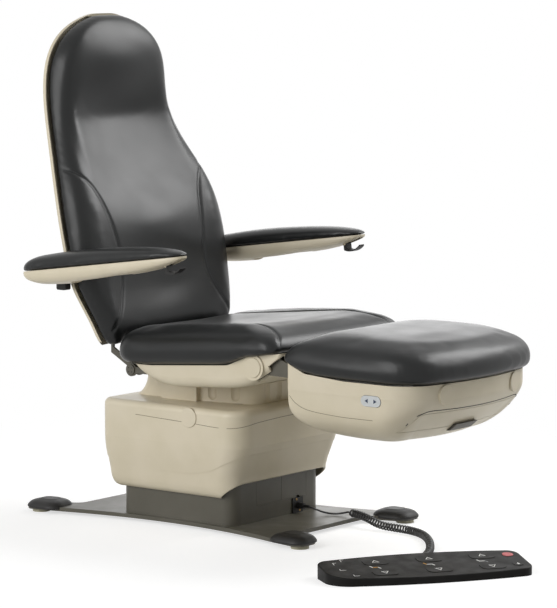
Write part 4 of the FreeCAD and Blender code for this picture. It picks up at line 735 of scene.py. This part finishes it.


# Parting line, painted shade lines, screws and prints

bodyOf = {node: body for body, held in frame["record"]["behaviour"]["bodies"].items() for node in held}

jointAndShadeLines = {
    # the housing's side turns under along a soft crease; the darker line laid along it is painted shade
    "legCrease": {"nodes": ["leg_shell"], "body": "leg_section", "radius": 0.0009, "sink": 0.0003,
                  "mirror": True, "shade": jointAndCreaseShade,
                  "points": [(-0.267, -0.426, 0.386), (-0.267, -0.450, 0.366), (-0.266, -0.490, 0.3525),
                             (-0.264, -0.578, 0.3455), (-0.262, -0.660, 0.3455), (-0.252, -0.722, 0.3485)]},
    # the tray's front stands a little clear of the housing, and the dark tube laid in that gap is painted
    # shade
    "trayGap": {"nodes": ["leg_shell", "debris_tray"], "body": "leg_section", "radius": 0.0017,
                "sink": 0.0007, "mirror": False, "shade": gapShade,
                "points": [(-0.2215, -0.7455, 0.3345), (-0.2200, -0.7550, 0.3500), (-0.2130, -0.7720, 0.3605),
                           (-0.190, -0.796, 0.3620), (-0.140, -0.806, 0.3620), (-0.070, -0.812, 0.3620),
                           (0.0, -0.814, 0.3620), (0.070, -0.812, 0.3620), (0.140, -0.806, 0.3620),
                           (0.190, -0.796, 0.3620), (0.2130, -0.7720, 0.3605), (0.2200, -0.7550, 0.3500),
                           (0.2215, -0.7455, 0.3345)]},
    # the shroud's two halves meet along a line below its shoulder
    "shroudBand": {"nodes": ["shroud"], "body": "carriage", "radius": 0.0009, "sink": 0.0004,
                   "mirror": False, "shade": jointAndCreaseShade,
                   "points": [(-0.226, 0.10, 0.2865), (-0.226, 0.0, 0.283), (-0.226, -0.096, 0.2795),
                              (-0.225, -0.160, 0.2765), (-0.212, -0.216, 0.2775), (-0.1626, -0.236, 0.2848),
                              (-0.110, -0.236, 0.2875), (-0.0513, -0.236, 0.2894), (0.0, -0.236, 0.290),
                              (0.0513, -0.236, 0.2894), (0.110, -0.236, 0.2875), (0.1626, -0.236, 0.2848),
                              (0.212, -0.216, 0.2775), (0.225, -0.160, 0.2765), (0.226, -0.096, 0.2795),
                              (0.226, 0.0, 0.283), (0.226, 0.10, 0.2865)]},
}

screws = {
    "pedestalScrews": {"node": "pedestal_shell", "radius": 0.0042, "proud": 0.0018,
                       "finish": finishes["bare_steel"], "facing": (0.0, -1.0, 0.0),
                       "places": [(-0.071, -0.190, 0.069), (0.004, -0.190, 0.085), (0.104, -0.190, 0.070)]},
    "socketScrews": {"node": "pedal_socket", "radius": 0.0028, "proud": 0.0012,
                     "finish": brass, "facing": (0.0, -1.0, 0.0),
                     "places": [(0.0765, -0.192, 0.0545), (0.0905, -0.192, 0.0245)]},
}

controlPlace = {"origin": (-0.322, -0.874), "turnDeg": -35.3}
buttonFirst, buttonPitch, buttonRow = -0.112, 0.134, 0.038


def merged(names):
    form = bmesh.new()
    for name in names:
        form.from_mesh(nodes[name].data)
    tree = BVHTree.FromBMesh(form)
    form.free()
    return tree


def tubeAlong(form, places, radius, segments=8):
    rings = []
    sideways = Vector((0.31, 0.42, 0.85))
    for index, place in enumerate(places):
        heading = (places[min(index + 1, len(places) - 1)] - places[max(index - 1, 0)]).normalized()
        sideways = (sideways - heading * sideways.dot(heading)).normalized()
        other = heading.cross(sideways)
        rings.append([form.verts.new(place + (sideways * math.cos(a) + other * math.sin(a)) * radius)
                      for a in (2 * math.pi * step / segments for step in range(segments))])
    for near, far in zip(rings, rings[1:]):
        for step in range(segments):
            after = (step + 1) % segments
            form.faces.new((near[step], near[after], far[after], far[step]))
    form.faces.new(list(reversed(rings[0])))
    form.faces.new(rings[-1])


# a thin sunk tube along a surface, for the parting line and for the painted shade lines
def makeSunkLine(name, spec):
    tree = merged(spec["nodes"])
    form = bmesh.new()
    for side in ((1, -1) if spec["mirror"] else (1,)):
        points = [Vector((side * x, y, z)) for x, y, z in spec["points"]]
        places = []
        for place in finePlaces(points, 0.004):
            hit = tree.find_nearest(place)
            places.append(hit[0] - hit[1] * spec["sink"])
        tubeAlong(form, places, spec["radius"])
    bmesh.ops.recalc_face_normals(form, faces=form.faces)
    mesh = bpy.data.meshes.new(name)
    form.to_mesh(mesh)
    form.free()
    return linkNew(name, mesh, spec["body"], spec["shade"])


def makeScrews(name, spec):
    tree = merged([spec["node"]])
    facing = Vector(spec["facing"])
    heads = bmesh.new()
    sockets = bmesh.new()
    for place in spec["places"]:
        seat = tree.ray_cast(Vector(place) + facing * 0.05, -facing)[0] or Vector(place)
        top = seat + facing * spec["proud"]
        addRod(heads, seat - facing * 0.001, top, spec["radius"], 24)
        addRod(sockets, top - facing * 0.0006, top + facing * 0.00012, spec["radius"] * 0.5, 6)
    rims = [edge for edge in heads.edges if edge.calc_face_angle(0.0) > 1.0]
    bmesh.ops.bevel(heads, geom=rims, offset=0.0004, affect="EDGES", segments=2, profile=0.5, material=-1)
    for form, part, finish in ((heads, "Heads", spec["finish"]), (sockets, "Sockets", holeShade)):
        mesh = bpy.data.meshes.new(name + part)
        form.to_mesh(mesh)
        form.free()
        linkNew(name + part, mesh, bodyOf[spec["node"]], finish)


def filledOutline(form, outer, inner=None, lift=0.00018, base=0.0006):
    # a thin printed film: an outline, hollow where it has an inner one
    loops = [outer] + ([inner] if inner else [])
    top = [[form.verts.new((x, y, lift)) for x, y in loop] for loop in loops]
    low = [[form.verts.new((x, y, -base)) for x, y in loop] for loop in loops]
    if inner:
        count = len(outer)
        for step in range(count):
            after = (step + 1) % count
            form.faces.new((top[0][step], top[0][after], top[1][after], top[1][step]))
    else:
        form.faces.new(top[0])
    for high, deep in zip(top, low):
        for step in range(len(high)):
            after = (step + 1) % len(high)
            form.faces.new((high[step], deep[step], deep[after], high[after]))


def triangle(half, point, hollow=0.0):
    # an equal sided triangle that points along +Y or -Y
    corners = [(0.0, point * half), (-0.866 * half, -0.5 * point * half), (0.866 * half, -0.5 * point * half)]
    return [(x * (1 - hollow), y * (1 - hollow)) for x, y in corners]


def box(cx, cy, halfX, halfY, turnDeg=0.0):
    turn = math.radians(turnDeg)
    corners = [(-halfX, -halfY), (halfX, -halfY), (halfX, halfY), (-halfX, halfY)]
    return [(cx + x * math.cos(turn) - y * math.sin(turn), cy + x * math.sin(turn) + y * math.cos(turn))
            for x, y in corners]


def onControl(place, node):
    # the control's own plan, with +Y to its rear, laid on a piece of its top face
    turn = math.radians(controlPlace["turnDeg"])
    plan = Matrix.Translation((*controlPlace["origin"], 0.0)) @ Matrix.Rotation(turn, 4, "Z")
    above = plan @ Vector((place[0], place[1], 0.2))
    hit = merged([node]).ray_cast(above, Vector((0.0, 0.0, -1.0)))
    ahead = (plan.to_3x3() @ Vector((0.0, 1.0, 0.0)))
    ahead = (ahead - hit[1] * ahead.dot(hit[1])).normalized()
    across = ahead.cross(hit[1])
    return Matrix.Translation(hit[0]) @ Matrix((across, ahead, hit[1])).transposed().to_4x4()


def makePrint(name, shapes, place, body, ink):
    form = bmesh.new()
    for outer, inner in shapes:
        filledOutline(form, outer, inner)
    bmesh.ops.recalc_face_normals(form, faces=form.faces)
    bmesh.ops.transform(form, matrix=place, verts=form.verts)
    mesh = bpy.data.meshes.new(name)
    form.to_mesh(mesh)
    form.free()
    return linkNew(name, mesh, body, ink)


def makeControlPrints():
    rows = ((1, ("raise", "back_up", "leg_up")), (-1, ("lower", "back_down", "leg_down")))
    for side, names in rows:
        for index, name in enumerate(names):
            node = "foot_button_" + name
            place = onControl((buttonFirst + buttonPitch * index, side * buttonRow), node)
            hollowArrow = [(triangle(0.0105, side), triangle(0.0105, side, 0.30))]
            makePrint("print_" + name, hollowArrow, place, bodyOf[node], whiteInk)
    # between the rows a small seated profile shows which part of the chair each pair moves
    housing = "foot_control_housing"
    body = bodyOf[housing]
    seat = [(box(0.0, 0.0, 0.0065, 0.0014), None)]
    back = [(box(-0.0088, 0.0052, 0.0014, 0.0062, 22.0), None)]
    leg = [(box(0.0088, -0.0042, 0.0014, 0.0056, 24.0), None)]
    for index, (moving, ink) in enumerate(((seat, amberInk), (back, amberInk), (leg, greyInk))):
        middle = onControl((buttonFirst + buttonPitch * index - 0.012, 0.0), housing)
        still = [shape for group in (seat, back, leg) if group is not moving for shape in group]
        makePrint("profileMoving%d" % index, moving, middle, body, ink)
        makePrint("profileStill%d" % index, still, middle, body, whiteInk)
    cornerMark = [(box(0.0035, 0.0062, 0.0045, 0.0008), None), (box(-0.001, 0.0, 0.0008, 0.007), None)]
    corners = [(-0.214, 0.040, 0), (-0.190, 0.060, 0), (-0.206, -0.006, 90), (-0.186, -0.050, 90)]
    for index, (x, y, turnDeg) in enumerate(corners):
        place = onControl((x, y), housing) @ Matrix.Rotation(math.radians(turnDeg), 4, "Z")
        makePrint("corner%d" % index, cornerMark, place, body, whiteInk)
    house = [(triangle(0.0052, 1), None), (box(0.0, -0.0038, 0.0026, 0.0022), None)]
    home = "foot_button_home"
    makePrint("print_home", house, onControl((0.222, -0.0333), home), bodyOf[home], whiteInk)


def makeSwitchPrints():
    for side, name in ((-1, "right"), (1, "left")):
        node = "leg_switch_" + name
        outward = Vector((side, 0.0, 0.0))
        shapes = []
        for way in (-1, 1):
            arrow = [(0.0115 * way + y, x) for x, y in triangle(0.0062, way)]
            shapes.append((arrow, None))
        seat = merged([node]).ray_cast(Vector((side * 0.4, -0.674, 0.393)), -outward)[0]
        across = Vector((0.0, side, 0.0))
        turn = Matrix((across, Vector((0.0, 0.0, 1.0)), outward)).transposed().to_4x4()
        makePrint("arrows_" + name, shapes, Matrix.Translation(seat) @ turn, bodyOf[node], navyInk)


def makePivotHoles():
    # four spanner holes in each end of the recline tube
    tree = merged(["back_frame"])
    for side, name in ((-1, "Right"), (1, "Left")):
        outward = Vector((side, 0.0, 0.0))
        form = bmesh.new()
        for a, b in ((-1, -1), (-1, 1), (1, -1), (1, 1)):
            seat = tree.ray_cast(Vector((side * 0.3, 0.112 + a * 0.0052, 0.401 + b * 0.0052)), -outward)[0]
            if seat:
                addRod(form, seat - outward * 0.0006, seat + outward * 0.00015, 0.0017, 16)
        mesh = bpy.data.meshes.new("pivotHoles" + name)
        form.to_mesh(mesh)
        form.free()
        linkNew("pivotHoles" + name, mesh, "backrest", holeShade)


for name, spec in jointAndShadeLines.items():
    makeSunkLine(name, spec)
for name, spec in screws.items():
    makeScrews(name, spec)
makeControlPrints()
makeSwitchPrints()
makePivotHoles()
print("lines, screws and prints laid")
